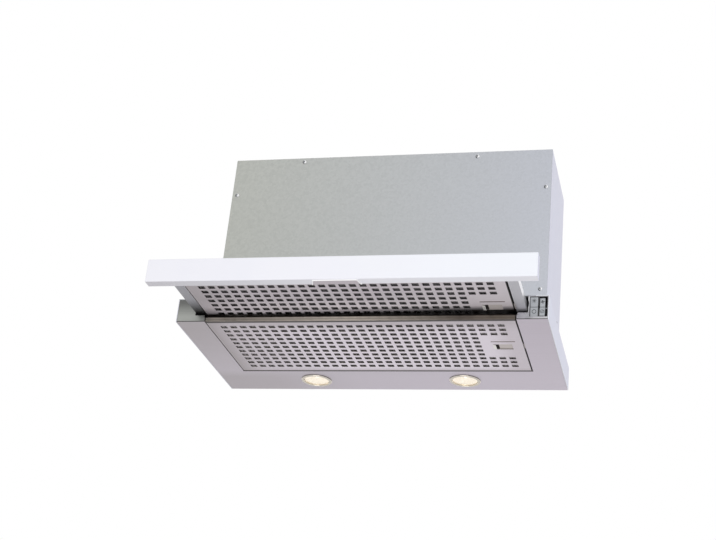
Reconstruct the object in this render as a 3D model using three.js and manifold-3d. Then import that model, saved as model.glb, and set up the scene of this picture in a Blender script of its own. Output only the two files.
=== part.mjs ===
// Pull-out range hood, 60 cm, shown with its visor pulled out.
//
// Millimetres. +X is right as the cook sees it, +Y points into the wall, +Z is up. The origin is in the
// middle of the back, level with the top of the base, which is the underside of the kitchen cabinet.
import * as THREE from "three";
import { mergeGeometries, mergeVertices } from "three/addons/utils/BufferGeometryUtils.js";
import Module from "manifold-3d";

const wasm = await Module();
wasm.setup();

// ---------------------------------------------------------------- driving dimensions

const GAP = 0.3; // left between two pieces that touch
const OVERRUN = 1; // of a cutting tool past the surface it cuts
const SHEET = 1.2; // folded steel sheet
const FLANGE = 14; // screw flange on a folded edge

// Housing
const BASE_WIDTH = 598;
const LEDGE_WIDTH = 19; // top of the base beside the box, under the cabinet's side
const BOX_SETBACK = 115; // from the fascia back to the box
const BOX_HEIGHT = 324; // above the base
const LAMP_STRIP = 85; // underside behind the filter opening

// Grease filters, two alike
const FILTER_THICKNESS = 9;
const FILTER_SHEET = 0.8;
const FILTER_GAP = 1.6; // round a filter in its opening
const FILTER_SETBACK = 0.4; // behind the fascia's face
const HOLE_WIDTH = 10.5;
const HOLE_DEPTH = 9.5;
const COLUMN_PITCH = 16;
const ROW_PITCH = 16.4;
const FIRST_ROW = 22.6; // filter's front edge to the first row of holes
const PLAIN_EDGE = 14; // least distance from a hole's middle to the rear edge
const PLAIN_SIDE = 24; // and to the side edges
const MESH_THICKNESS = 1.2;
const HOOK_WIDTH = 18;
const HOOK_REACH = 3.9;
const HOOK_INSET = 0.2; // of the filter's depth, from the front and the rear
const FRAME_BAR = 6;
const FRAME_BAYS = 8;

// Filter latch
const LATCH_FROM_FRONT = 107;
const LATCH_WINDOW_WIDTH = 26;
const LATCH_WINDOW_DEPTH = 20;
const LATCH_INSET = 31; // filter's right edge to the middle of the window
const LATCH_BLANK_WIDTH = 63; // plain sheet round the latch
const LATCH_BLANK_DEPTH = 78;
const LATCH_TRAVEL = 5;
const LATCH_PLATE = 1.2;
const LATCH_MARGIN = 1; // window's edge to the plate
const LATCH_NOSE = 1.6; // the nose stands this much above the plate
const LATCH_NOSE_LENGTH = 10;
const FINGER_SLOT = 4.5; // left end of the window to the tab
const RAMP_LENGTH = 5; // pressed up to the left end of the window
const RAMP_HEIGHT = 1;
const GROOVE_LENGTH = 38; // pressed in the sheet in front of the window
const GROOVE_WIDTH = 1.4;
const GROOVE_DEPTH = 0.4;
const GROOVE_AHEAD = 20; // of the middle of the window

// Visor
const VISOR_TRAVEL = 123.5;
const PANEL_HEIGHT = 38;
const PANEL_THICKNESS = 17;
const PANEL_RISE = 2.3; // above the top of the base
const PANEL_CLEARANCE = 0.5; // to the fascia when closed
const NOTCH_WIDTH = 66;
const NOTCH_DEPTH = 14;
const NOTCH_SPLAY = 4; // each end of the notch runs out by this much
const NOTCH_LIP = 1.5; // the lip stands this much below the underside
const PANEL_WINDOW_MARGIN = 3.6; // round the openings at both ends of its back
const TRAY_HEIGHT = 23.4;
const TRAY_GAP = 5.6; // base filter to tray
const DECK_CLEARANCE = 0.8;
const TOP_PLATE_DEPTH = 130;
const BAR_DEPTH = 5; // front and rear bars of the tray
const RAIL_WIDTH = 16;
const RAIL_LIP = 11.4; // outer wall of a rail
const RAIL_SHELF = 7.8; // top flange of a rail
const GUIDE_CLEARANCE = 1.3;
const SLOT_CLEARANCE = 0.9; // rail to the side of the fascia's slot
const STEP_CLEARANCE = 3.4; // rail to the bottom of the slot
const SLOT_LAND = 2.4; // fascia between the slot and the switches
const RELIEF_DEPTH = 1.3; // round hollow in the slot's side
const RELIEF_HEIGHT = 10;
const RELIEF_DROP = 14.4; // top of the base to the middle of the hollow
const LINING_HEIGHT = 7.6; // turned-up edge round the filter opening

// Rocker switches
const SWITCH_HEIGHT = 33.2;
const SWITCH_WIDTH = 27.3;
const SWITCH_EDGE = 2.2; // fascia beside the cut-out
const SWITCH_RIM = 0.8; // and above it
const SWITCH_DEPTH = 22;
const MOULDING = 1.4; // wall of the switch housing
const LIGHT_ROCKER_WIDTH = 11.8;
const FAN_ROCKER_WIDTH = 8;
const ROCKER_GAP = 2.6; // between the two rockers
const ROCKER_MARGIN = 0.8; // cut-out's left edge to the first rocker
const ROCKER_END_GAP = 0.9;
const FAN_ROCKER_DROP = 1.2; // the second rocker is this much shorter, at its top
const ROCKER_TILT = 6; // degrees, each way
const PIVOT_DEPTH = 6; // behind the fascia's face
const ROCKER_FACE = 4.6; // pivot to the ends of the face
const ROCKER_DISH = 1; // the face's middle lies this much deeper
const ROCKER_BELLY = 4; // pivot to the back of the belly
const PIN_RADIUS = 1.3;
const PIN_REACH = 0.9;

// Lamps
const LAMP_DIAMETER = 53;
const LAMP_SPACING = 260;
const LAMP_DEPTH = 26;
const LAMP_BEZEL = 3; // flange round the cup
const LAMP_RIM = 1.3; // the flange stands this much below the sheet
const LAMP_LIP = 1.6; // holds the glass
const LENS = 1.5;
const BULB_RADIUS = 6;
const BOWL_RADIUS = 13;
const BOWL_SHOULDER = 12; // above the bowl's rim
const BOWL_WALL = 0.9;

// Blower
const IMPELLER_RADIUS = 60;
const BLADE_DEPTH = 11;
const BLADE_COUNT = 18;
const SCROLL_WIDTH = 120;
const SCROLL_WALL = 1.5;
const TONGUE_CLEARANCE = 6;
const SCROLL_GROWTH = 24;
const DUCT_DROP = 150; // box top to the impeller's axis
const BLOWER_CLEARANCE = 9.5; // scroll to the outside of the box
const MOTOR_RADIUS = 38;
const MOTOR_LENGTH = 52;
const MOTOR_CHAMFER = 5;
const MOTOR_PLATE = 2;
const ARM_REACH = 20; // the motor plate's arms, beyond the motor
const ARM_HALF_ANGLE = 9; // degrees
const WAIST_ANGLE = 34;
const ARMS = 3;
const SHAFT_RADIUS = 4;
const SHAFT_CLEARANCE = 0.3;
const SHAFT_IN_MOTOR = 12;
const HUB_RADIUS = 14;
const HUB_LENGTH = 20;
const DISC_THICKNESS = 2;
const RING_WIDTH = 3;
const IMPELLER_END_GAP = 5;
const BLADE_LEAN = 3.2;
const BLADE_THICKNESS = 1.3;

// Outlet
const COLLAR_DIAMETER = 120;
const COLLAR_HEIGHT = 25;
const COLLAR_FLANGE = 11;
const DAMPER_THICKNESS = 1;
const DAMPER_CLEARANCE = 1.6;
const DAMPER_LIFT = 6; // box top to the flaps
const SEAT_WIDTH = 3;
const BAR_WIDTH = 3;

// Electrics
const GLAND_RADIUS = 8;
const GLAND_ACROSS = 24; // hexagon, corner to corner
const GLAND_HEX = 5;
const GLAND_DOME_RADIUS = 7;
const GLAND_DOME = 9; // above the hexagon
const GLAND_TAIL = 12; // below the top panel
const GLAND_TIP_RADIUS = 4.9;
const GLAND_FROM_SIDE = 89.6; // of the box
const GLAND_FROM_BACK = 63.4;
const TERMINAL_WIDTH = 80;
const TERMINAL_DEPTH = 60;
const TERMINAL_HEIGHT = 34;
const CAPACITOR_RADIUS = 17;
const CAPACITOR_LENGTH = 58;
const CAPACITOR_HEIGHT = 104.4; // above the base

// Round pieces are faceted.
const FINE = 24;
const MEDIUM = 16;
const COARSE = 12;

// ---------------------------------------------------------------- worked out from them

const baseHeight = FILTER_THICKNESS + TRAY_GAP + TRAY_HEIGHT + DECK_CLEARANCE + SHEET;
const scrollStart = IMPELLER_RADIUS + TONGUE_CLEARANCE;
const TONGUE_ANGLE = 30; // degrees from straight up, towards the front
const SPIRAL_END = 270; // the spiral ends level with the axis, at the back
const spiralRadius = (angle) =>
  scrollStart + (SCROLL_GROWTH * (angle - TONGUE_ANGLE)) / (SPIRAL_END - TONGUE_ANGLE);
const boxDepth = spiralRadius(90) + spiralRadius(SPIRAL_END) + 2 * BLOWER_CLEARANCE;
const baseDepth = BOX_SETBACK + boxDepth;

const front = -baseDepth; // face of the fascia
const boxFront = -boxDepth;
const bottom = -baseHeight;
const baseSide = BASE_WIDTH / 2;
const boxSide = baseSide - LEDGE_WIDTH;
const boxTop = BOX_HEIGHT;

// The switch block, the slot and the rail lie side by side from the right side of the base inwards.
const switchRight = baseSide - SWITCH_EDGE;
const switchLeft = switchRight - SWITCH_WIDTH;
const slotEdge = switchLeft - SLOT_LAND;
const railOuter = slotEdge - SLOT_CLEARANCE;
const railInner = railOuter - RAIL_WIDTH;
const filterSide = railInner - FILTER_GAP;
const filterWidth = 2 * filterSide;
const filterDepth = baseDepth - LAMP_STRIP - FILTER_GAP - FILTER_SETBACK;

const trayTop = -SHEET - DECK_CLEARANCE;
const trayBottom = trayTop - TRAY_HEIGHT;
const shelfTop = trayTop - SHEET - GAP; // the rails' top flanges
const panelBack = front - PANEL_CLEARANCE; // visor closed
const trayFilterFront = panelBack + BAR_DEPTH + GAP;
const trayRear = trayFilterFront + filterDepth + GAP + BAR_DEPTH;

const blowerY = -(BLOWER_CLEARANCE + spiralRadius(SPIRAL_END));
const blowerZ = boxTop - DUCT_DROP;
const tongueY = blowerY - scrollStart * Math.sin(THREE.MathUtils.degToRad(TONGUE_ANGLE));
const tongueZ = blowerZ + scrollStart * Math.cos(THREE.MathUtils.degToRad(TONGUE_ANGLE));
const ductRearY = blowerY + spiralRadius(SPIRAL_END);
const outletY = (tongueY + ductRearY) / 2;
const collarBore = COLLAR_DIAMETER / 2 - SHEET;

// ---------------------------------------------------------------- finishes

function finish(color, roughness, metalness) {
  return new THREE.MeshStandardMaterial({ color, roughness, metalness });
}
const WHITE_PAINT = finish(0xf0f1f6, 0.4, 0);
const GALVANISED = finish(0xb9bbb7, 0.5, 0.75);
const STAINLESS = finish(0xb5aeb2, 0.35, 0.9);
const ALUMINIUM = finish(0xc6c2c4, 0.4, 0.9);
const DARK_STEEL = finish(0x6a6a6c, 0.5, 0.8);
const GREY_PLASTIC = finish(0xc9ccce, 0.5, 0);
const BLACK_PLASTIC = finish(0x2c2c2e, 0.55, 0);
const BRIGHT_METAL = finish(0xe2e0dc, 0.15, 1);
const LAMP_GLASS = finish(0xfff2d6, 0.1, 0);

// ---------------------------------------------------------------- shaping

// A flat outline from its corner points, with any holes.
function outline(points, holes = []) {
  const shape = new THREE.Shape(points.map(([u, v]) => new THREE.Vector2(u, v)));
  shape.holes = holes;
  return shape;
}

function rectangle(u0, u1, v0, v1) {
  return [[u0, v0], [u1, v0], [u1, v1], [u0, v1]];
}

function roundHole(u, v, radius) {
  return new THREE.Path().absarc(u, v, radius, 0, 2 * Math.PI, true);
}

// An outline pushed from one place to another along an axis. Its u, v are Y, Z along x; X, Z along y;
// and X, Y along z.
function extrude(shape, axis, from, to, segments = COARSE) {
  const options = { depth: to - from, bevelEnabled: false, curveSegments: segments };
  const geometry = new THREE.ExtrudeGeometry(shape, options);
  if (axis === "x") {
    const turn = new THREE.Matrix4().makeBasis(
      new THREE.Vector3(0, 1, 0),
      new THREE.Vector3(0, 0, 1),
      new THREE.Vector3(1, 0, 0),
    );
    return geometry.applyMatrix4(turn).translate(from, 0, 0);
  }
  if (axis === "y") return geometry.rotateX(Math.PI / 2).translate(0, to, 0);
  return geometry.translate(0, 0, from);
}

// A turned piece: radius and height pairs round the Z axis.
function turned(profile, segments = FINE) {
  const points = profile.map(([radius, height]) => new THREE.Vector2(radius, height));
  return new THREE.LatheGeometry([...points, points[0]], segments).rotateX(Math.PI / 2);
}

// The same along X.
function turnedAlongX(profile, segments = FINE) {
  return turned(profile, segments).rotateY(Math.PI / 2);
}

function solid(geometry) {
  const bare = geometry.clone();
  bare.deleteAttribute("normal");
  bare.deleteAttribute("uv");
  const merged = mergeVertices(bare, 1e-4);
  return new wasm.Manifold(
    new wasm.Mesh({
      numProp: 3,
      vertProperties: new Float32Array(merged.attributes.position.array),
      triVerts: new Uint32Array(merged.index.array),
    }),
  );
}

function surface(manifold) {
  const mesh = manifold.getMesh();
  const geometry = new THREE.BufferGeometry();
  geometry.setAttribute("position", new THREE.BufferAttribute(mesh.vertProperties, 3));
  geometry.setIndex(new THREE.BufferAttribute(mesh.triVerts, 1));
  return geometry.toNonIndexed();
}

function join(...geometries) {
  return surface(geometries.map(solid).reduce((whole, next) => whole.add(next)));
}

function cut(geometry, ...tools) {
  return surface(tools.map(solid).reduce((rest, tool) => rest.subtract(tool), solid(geometry)));
}

function piece(name, geometry, material) {
  geometry.computeVertexNormals();
  const mesh = new THREE.Mesh(geometry, material);
  mesh.name = name;
  return mesh;
}

// A folded right-hand outline in X, turned round for the left side.
function onSide(points, side) {
  const placed = points.map(([x, z]) => [side * x, z]);
  return side < 0 ? placed.reverse() : placed;
}

// ---------------------------------------------------------------- housing

// One painted sheet a side: up the base, in along the ledge and up the box, with screw flanges.
function sidePanel(name, side) {
  const baseFold = outline(onSide([
    [baseSide - SHEET, bottom], [baseSide, bottom], [baseSide, 0],
    [boxSide - SHEET, 0], [boxSide - SHEET, -SHEET], [baseSide - SHEET, -SHEET],
  ], side));
  const frontFace = boxFront + SHEET + GAP;
  const rearFace = -SHEET - GAP;
  const boxFold = outline(onSide([
    [boxSide, frontFace], [boxSide, 0], [boxSide - SHEET, 0], [boxSide - SHEET, rearFace],
    [boxSide - FLANGE, rearFace], [boxSide - FLANGE, rearFace - SHEET],
    [boxSide - SHEET, rearFace - SHEET], [boxSide - SHEET, frontFace + SHEET],
    [boxSide - FLANGE, frontFace + SHEET], [boxSide - FLANGE, frontFace],
  ], side));
  const wall = outline(onSide(rectangle(boxSide - SHEET, boxSide, frontFace, 0), side));
  return piece(
    name,
    join(
      extrude(baseFold, "y", front, 0),
      extrude(boxFold, "z", GAP, boxTop - SHEET - GAP),
      extrude(wall, "z", -SHEET / 2, boxTop),
    ),
    WHITE_PAINT,
  );
}

function boxFrontPanel() {
  const face = outline(rectangle(-boxSide, boxSide, GAP, boxTop));
  return piece("box_front_panel", extrude(face, "y", boxFront, boxFront + SHEET), GALVANISED);
}

// The back is one sheet, wide behind the base and narrow between the sides of the box.
function boxBackPanel() {
  const wide = baseSide - SHEET - GAP;
  const narrow = boxSide - SHEET - GAP;
  const shoulder = -SHEET - GAP;
  const floor = bottom + SHEET + GAP;
  const top = boxTop - SHEET - GAP;
  const face = outline([
    [-wide, floor], [wide, floor], [wide, shoulder], [narrow, shoulder],
    [narrow, top], [-narrow, top], [-narrow, shoulder], [-wide, shoulder],
  ]);
  return piece("box_back_panel", extrude(face, "y", -SHEET, 0), GALVANISED);
}

// The top is folded down behind the front panel and has the duct hole and the hole for the cable gland.
function boxTopPanel() {
  const side = boxSide - SHEET - GAP;
  const rim = boxFront + SHEET + GAP;
  const flangeSide = boxSide - FLANGE - GAP;
  const plate = outline(rectangle(-side, side, rim, 0), [
    roundHole(0, outletY, collarBore),
    roundHole(glandX, glandY, GLAND_RADIUS + GAP),
  ]);
  const fold = outline(rectangle(-flangeSide, flangeSide, boxTop - FLANGE, boxTop - SHEET / 2));
  return piece(
    "box_top_panel",
    join(
      extrude(plate, "z", boxTop - SHEET, boxTop, FINE / 2),
      extrude(fold, "y", rim, rim + SHEET),
    ),
    GALVANISED,
  );
}

// The deck closes the base in front of the box and is folded up behind the front panel.
function baseDeck() {
  const side = boxSide - SHEET - GAP;
  const flangeSide = boxSide - FLANGE - GAP;
  const rear = boxFront + SHEET + GAP;
  const plate = outline(rectangle(-side, side, front, rear + SHEET));
  const fold = outline(rectangle(-flangeSide, flangeSide, -SHEET / 2, FLANGE));
  return piece(
    "base_deck",
    join(extrude(plate, "z", -SHEET, 0), extrude(fold, "y", rear, rear + SHEET)),
    GALVANISED,
  );
}

// A round hollow in the outer side of the tray's slot, from its top to its foot.
function slotRelief() {
  const points = [];
  for (let step = 0; step <= COARSE / 2; step += 1) {
    const angle = (Math.PI * step) / (COARSE / 2);
    const out = slotEdge + RELIEF_DEPTH * Math.sin(angle);
    points.push([out, (RELIEF_HEIGHT / 2) * Math.cos(angle) - RELIEF_DROP]);
  }
  return points;
}

// Fascia ends: full height outside the tray's slot, a low step under the rail.
function fasciaEnd(side, holes) {
  const outer = baseSide - SHEET - GAP;
  const top = -SHEET - GAP;
  const step = trayBottom - STEP_CLEARANCE;
  return outline(onSide([
    [railInner + SHEET, bottom], [outer, bottom], [outer, top], [slotEdge, top],
    ...slotRelief(), [slotEdge, step], [railInner + SHEET, step],
  ], side), holes);
}

const lampY = -LAMP_STRIP / 2;
const lampCup = LAMP_DIAMETER / 2 - LAMP_BEZEL;

// Stainless underside, open in front: bands beside and behind the filter, fascia ends, turned-up edges.
function bottomPanel() {
  const outer = baseSide - SHEET - GAP;
  const openingRear = -LAMP_STRIP;
  const lampHole = (side) => roundHole((side * LAMP_SPACING) / 2, lampY, lampCup + GAP);
  const plan = outline([
    [-outer, front], [-railInner, front], [-railInner, openingRear], [railInner, openingRear],
    [railInner, front], [outer, front], [outer, 0], [-outer, 0],
  ], [lampHole(-1), lampHole(1)]);
  const edge = railInner + SHEET;
  const lining = outline([
    [-edge, front], [-railInner, front], [-railInner, openingRear], [railInner, openingRear],
    [railInner, front], [edge, front], [edge, openingRear + SHEET], [-edge, openingRear + SHEET],
  ]);
  const switchHole = new THREE.Path(
    rectangle(switchLeft, switchRight, switchBottom, switchTop).reverse()
      .map(([x, z]) => new THREE.Vector2(x, z)),
  );
  return piece(
    "bottom_panel",
    join(
      extrude(plan, "z", bottom, bottom + SHEET, FINE / 2),
      extrude(lining, "z", bottom + SHEET / 2, bottom + LINING_HEIGHT),
      extrude(fasciaEnd(-1, []), "y", front, front + SHEET),
      extrude(fasciaEnd(1, [switchHole]), "y", front, front + SHEET),
    ),
    STAINLESS,
  );
}

// A C-section, open inwards, hung under the deck: its shelf carries the rail's top flange.
function slideGuide(name, side) {
  const web = railInner + RAIL_SHELF + SHEET + GUIDE_CLEARANCE;
  const shelf = railInner + SHEET + GUIDE_CLEARANCE;
  const shelfZ = shelfTop - SHEET - GAP;
  const lowZ = trayBottom + SHEET + GUIDE_CLEARANCE;
  const hang = -SHEET - GAP;
  const section = outline(onSide([
    [shelf, lowZ], [web + SHEET, lowZ], [web + SHEET, hang - SHEET], [slotEdge - GAP, hang - SHEET],
    [slotEdge - GAP, hang], [web, hang], [web, shelfZ], [shelf, shelfZ],
    [shelf, shelfZ - SHEET], [web, shelfZ - SHEET], [web, lowZ + SHEET], [shelf, lowZ + SHEET],
  ], side));
  const lug = outline(onSide(rectangle(web, baseSide - SHEET - GAP, hang - SHEET, hang), side));
  const rear = trayRear - BAR_DEPTH;
  return piece(
    name,
    join(
      extrude(section, "y", front + SHEET + GAP, rear),
      extrude(lug, "y", rear - 2 * FLANGE, rear),
    ),
    DARK_STEEL,
  );
}

// ---------------------------------------------------------------- switches

const switchTop = -SHEET - GAP - SWITCH_RIM;
const switchBottom = switchTop - SWITCH_HEIGHT;
const pivotY = front + PIVOT_DEPTH;
const lightRockerLeft = switchLeft + ROCKER_MARGIN;
const lightRockerRight = lightRockerLeft + LIGHT_ROCKER_WIDTH;
const fanRockerLeft = lightRockerRight + ROCKER_GAP;
const fanRockerRight = fanRockerLeft + FAN_ROCKER_WIDTH;
const lightRockerHeight = SWITCH_HEIGHT - 2 * ROCKER_END_GAP;
const fanRockerHeight = lightRockerHeight - FAN_ROCKER_DROP;
const lightRockerZ = (switchTop + switchBottom) / 2;
const fanRockerZ = lightRockerZ - FAN_ROCKER_DROP / 2;

// Each well's left and right walls: the light's first, then the fan's.
const wells = [
  { from: lightRockerLeft - GAP, to: lightRockerRight + GAP, z: lightRockerZ },
  { from: fanRockerLeft - GAP, to: switchRight - GAP, z: fanRockerZ },
];

// Moulded block with a well for each rocker and a slot each side for its pins, open to the front.
function switchHousing() {
  const back = front + SWITCH_DEPTH;
  const face = front + SHEET + GAP;
  const body = outline(rectangle(switchLeft - MOULDING + GAP, baseSide - SHEET - 2 * GAP,
    switchBottom - MOULDING, switchTop));
  const pinRoom = PIN_RADIUS + GAP;
  const tools = wells.flatMap(({ from, to, z }) => {
    const well = outline(rectangle(from, to, switchBottom, switchTop - GAP));
    const pinSlot = outline(rectangle(from - PIN_REACH, to + PIN_REACH, z - pinRoom, z + pinRoom));
    return [
      extrude(well, "y", face - OVERRUN, back - MOULDING),
      extrude(pinSlot, "y", face - OVERRUN, pivotY + pinRoom),
    ];
  });
  return piece("switch_housing", cut(extrude(body, "y", face, back), ...tools), BLACK_PLASTIC);
}

// A rocker has two faces that meet in a shallow hollow, a round belly behind, and a pin each side.
function rocker(name, left, right, height, well, tilt) {
  const half = height / 2;
  const section = new THREE.Shape();
  section.moveTo(-ROCKER_FACE, -half);
  section.lineTo(0, -half);
  section.quadraticCurveTo(2 * ROCKER_BELLY, 0, 0, half);
  section.lineTo(-ROCKER_FACE, half);
  section.lineTo(ROCKER_DISH - ROCKER_FACE, 0);
  const pinFrom = well.from - PIN_REACH + GAP;
  const pinTo = well.to + PIN_REACH - GAP;
  const pinEnds = [[0, pinFrom], [PIN_RADIUS, pinFrom], [PIN_RADIUS, pinTo], [0, pinTo]];
  const pin = turnedAlongX(pinEnds, COARSE / 2);
  const mesh = piece(name, join(extrude(section, "x", left, right, COARSE / 2), pin), GREY_PLASTIC);
  mesh.position.set(0, pivotY, well.z);
  mesh.rotation.x = THREE.MathUtils.degToRad(tilt);
  return mesh;
}

function rockers() {
  const [lightWell, fanWell] = wells;
  return [
    rocker("light_rocker", lightRockerLeft, lightRockerRight, lightRockerHeight, lightWell, ROCKER_TILT),
    rocker("fan_rocker", fanRockerLeft, fanRockerRight, fanRockerHeight, fanWell, -ROCKER_TILT),
  ];
}

// ---------------------------------------------------------------- lamps

// A bezel under the sheet and a cup above it, which holds a bowl reflector behind a glass.
function lamp(side) {
  const end = side < 0 ? "left" : "right";
  const low = bottom - GAP;
  const top = low + LAMP_DEPTH;
  const glassSide = lampCup - SHEET - 2 * GAP;
  const lip = glassSide - LAMP_LIP;
  const lens = low + GAP + LENS;
  const housing = turned([
    [lip, low - LAMP_RIM], [LAMP_DIAMETER / 2, low - LAMP_RIM], [LAMP_DIAMETER / 2, low], [lampCup, low],
    [lampCup, top], [BULB_RADIUS, top], [BULB_RADIUS, top - SHEET],
    [lampCup - SHEET, top - SHEET], [lampCup - SHEET, low], [lip, low],
  ], MEDIUM);
  const glass = turned([[0, low + GAP], [glassSide, low + GAP], [glassSide, lens], [0, lens]], MEDIUM);
  const bowl = lens + GAP;
  const shoulder = bowl + BOWL_SHOULDER;
  const crown = top - SHEET - 4 * GAP;
  const reflector = turned([
    [glassSide, bowl], [glassSide, bowl + BOWL_WALL], [BOWL_RADIUS + BOWL_WALL, shoulder],
    [BULB_RADIUS, crown], [BULB_RADIUS, crown - BOWL_WALL], [BOWL_RADIUS, shoulder - BOWL_WALL],
  ], COARSE);
  const parts = [
    piece(`lamp_housing_${end}`, housing, BRIGHT_METAL),
    piece(`lamp_glass_${end}`, glass, LAMP_GLASS),
    piece(`lamp_reflector_${end}`, reflector, BRIGHT_METAL),
  ];
  parts.forEach((part) => part.position.set((side * LAMP_SPACING) / 2, lampY, 0));
  return parts;
}

// ---------------------------------------------------------------- blower

// The gland and terminal box are over the left part of the box, the capacitor under them on the back.
const glandX = GLAND_FROM_SIDE - boxSide;
const glandY = -GLAND_FROM_BACK;

// The scroll's outline in Y, Z, at a distance inside its outer face: down the front of the duct to the
// tongue, round the spiral, and up the back of the duct.
function scrollOutline(inset) {
  const points = [[tongueY + inset, boxTop - SHEET - GAP], [tongueY + inset, tongueZ]];
  for (let step = 1; step <= COARSE; step += 1) {
    const angle = TONGUE_ANGLE + ((SPIRAL_END - TONGUE_ANGLE) * step) / COARSE;
    const radius = spiralRadius(angle) - inset;
    const turn = THREE.MathUtils.degToRad(angle);
    points.push([blowerY - radius * Math.sin(turn), blowerZ + radius * Math.cos(turn)]);
  }
  points.push([ductRearY - inset, boxTop - SHEET - GAP]);
  return points;
}

function scrollWall() {
  const inner = scrollOutline(SCROLL_WALL).reverse();
  const half = SCROLL_WIDTH / 2 - SCROLL_WALL - GAP;
  const strip = outline([...scrollOutline(0), ...inner]);
  return piece("scroll_wall", extrude(strip, "x", -half, half), GALVANISED);
}

const inletRadius = IMPELLER_RADIUS - BLADE_DEPTH;

// The right side has the air inlet and the left one a hole for the impeller's hub.
function scrollSide(name, side) {
  const outer = (side * SCROLL_WIDTH) / 2;
  const inner = outer - side * SCROLL_WALL;
  const opening = side > 0 ? inletRadius : HUB_RADIUS;
  const plate = outline(scrollOutline(0), [roundHole(blowerY, blowerZ, opening)]);
  const geometry = extrude(plate, "x", Math.min(outer, inner), Math.max(outer, inner), FINE / 2);
  return piece(name, geometry, GALVANISED);
}

const impellerEnd = SCROLL_WIDTH / 2 - SCROLL_WALL - IMPELLER_END_GAP;

// Drum of forward-leaning blades between a back disc with its hub and an open ring at the inlet.
function impeller() {
  const bore = SHAFT_RADIUS + SHAFT_CLEARANCE;
  const disc = turnedAlongX([
    [bore, -impellerEnd], [IMPELLER_RADIUS, -impellerEnd],
    [IMPELLER_RADIUS, DISC_THICKNESS - impellerEnd], [HUB_RADIUS, DISC_THICKNESS - impellerEnd],
    [HUB_RADIUS, HUB_LENGTH - impellerEnd], [bore, HUB_LENGTH - impellerEnd],
  ], BLADE_COUNT);
  const ring = turnedAlongX([
    [inletRadius, impellerEnd - RING_WIDTH], [IMPELLER_RADIUS, impellerEnd - RING_WIDTH],
    [IMPELLER_RADIUS, impellerEnd], [inletRadius, impellerEnd],
  ], BLADE_COUNT);
  const low = inletRadius + BLADE_THICKNESS;
  const high = IMPELLER_RADIUS - BLADE_THICKNESS;
  const section = outline([
    [0, low], [BLADE_THICKNESS, low], [BLADE_LEAN + BLADE_THICKNESS, high], [BLADE_LEAN, high],
  ]);
  const blades = [];
  for (let index = 0; index < BLADE_COUNT; index += 1) {
    const blade = extrude(section, "x", DISC_THICKNESS / 2 - impellerEnd, impellerEnd - RING_WIDTH / 2);
    blades.push(blade.rotateX((2 * Math.PI * index) / BLADE_COUNT));
  }
  const mesh = piece("impeller", join(disc, ring, ...blades), GALVANISED);
  mesh.position.set(0, blowerY, blowerZ);
  return mesh;
}

const plateFace = -SCROLL_WIDTH / 2 - GAP;
const motorFront = plateFace - MOTOR_PLATE - GAP;
const motorRear = motorFront - MOTOR_LENGTH;

function motorShaft() {
  const shaft = turnedAlongX([
    [0, motorFront - SHAFT_IN_MOTOR], [SHAFT_RADIUS, motorFront - SHAFT_IN_MOTOR],
    [SHAFT_RADIUS, HUB_LENGTH - impellerEnd], [0, HUB_LENGTH - impellerEnd],
  ], COARSE);
  const mesh = piece("motor_shaft", shaft, BRIGHT_METAL);
  mesh.position.set(0, blowerY, blowerZ);
  return mesh;
}

// The motor stands outside the scroll's left side, with a bore for its shaft.
function motor() {
  const bore = SHAFT_RADIUS + SHAFT_CLEARANCE;
  const can = turnedAlongX([
    [0, motorRear], [MOTOR_RADIUS - MOTOR_CHAMFER, motorRear], [MOTOR_RADIUS, motorRear + MOTOR_CHAMFER],
    [MOTOR_RADIUS, motorFront], [bore, motorFront], [bore, motorFront - SHAFT_IN_MOTOR - GAP],
    [0, motorFront - SHAFT_IN_MOTOR - GAP],
  ], FINE);
  const mesh = piece("motor", can, BLACK_PLASTIC);
  mesh.position.set(0, blowerY, blowerZ);
  return mesh;
}

// Three-armed plate between the motor and the scroll.
function motorPlate() {
  const apart = 360 / ARMS;
  const arm = [[ARM_REACH, -ARM_HALF_ANGLE], [ARM_REACH, ARM_HALF_ANGLE]];
  const corners = [...arm, [0, WAIST_ANGLE], [0, apart - WAIST_ANGLE]];
  const points = [];
  for (let index = 0; index < ARMS; index += 1) {
    for (const [beyond, turn] of corners) {
      const angle = THREE.MathUtils.degToRad(90 + index * apart + turn); // the first arm points up
      const reach = MOTOR_RADIUS + beyond;
      points.push([reach * Math.cos(angle), reach * Math.sin(angle)]);
    }
  }
  const plate = outline(points, [roundHole(0, 0, HUB_RADIUS)]);
  const mesh = piece("motor_plate", extrude(plate, "x", plateFace - MOTOR_PLATE, plateFace), DARK_STEEL);
  mesh.position.set(0, blowerY, blowerZ);
  return mesh;
}

// ---------------------------------------------------------------- outlet and electrics

const damperZ = boxTop + DAMPER_LIFT;

// Spigot for the duct, with a flange on the box and a seat for the two flaps.
function outletCollar() {
  const outer = COLLAR_DIAMETER / 2;
  const foot = boxTop + GAP;
  const seat = damperZ - DAMPER_THICKNESS / 2 - GAP;
  const collar = turned([
    [collarBore - SEAT_WIDTH, foot], [outer + COLLAR_FLANGE, foot], [outer + COLLAR_FLANGE, foot + SHEET],
    [outer, foot + SHEET], [outer, foot + COLLAR_HEIGHT], [collarBore, foot + COLLAR_HEIGHT],
    [collarBore, seat], [collarBore - SEAT_WIDTH, seat],
  ]);
  const mesh = piece("outlet_collar", collar, GALVANISED);
  mesh.position.set(0, outletY, 0);
  return mesh;
}

// Bar across the collar, between the hinge lines of the flaps.
function damperBar() {
  const reach = collarBore - SEAT_WIDTH - 2 * GAP;
  const low = boxTop + GAP + SHEET;
  const bar = outline(rectangle(outletY - BAR_WIDTH / 2, outletY + BAR_WIDTH / 2, low,
    damperZ + DAMPER_THICKNESS / 2));
  return piece("damper_bar", extrude(bar, "x", -reach, reach), GREY_PLASTIC);
}

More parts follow.
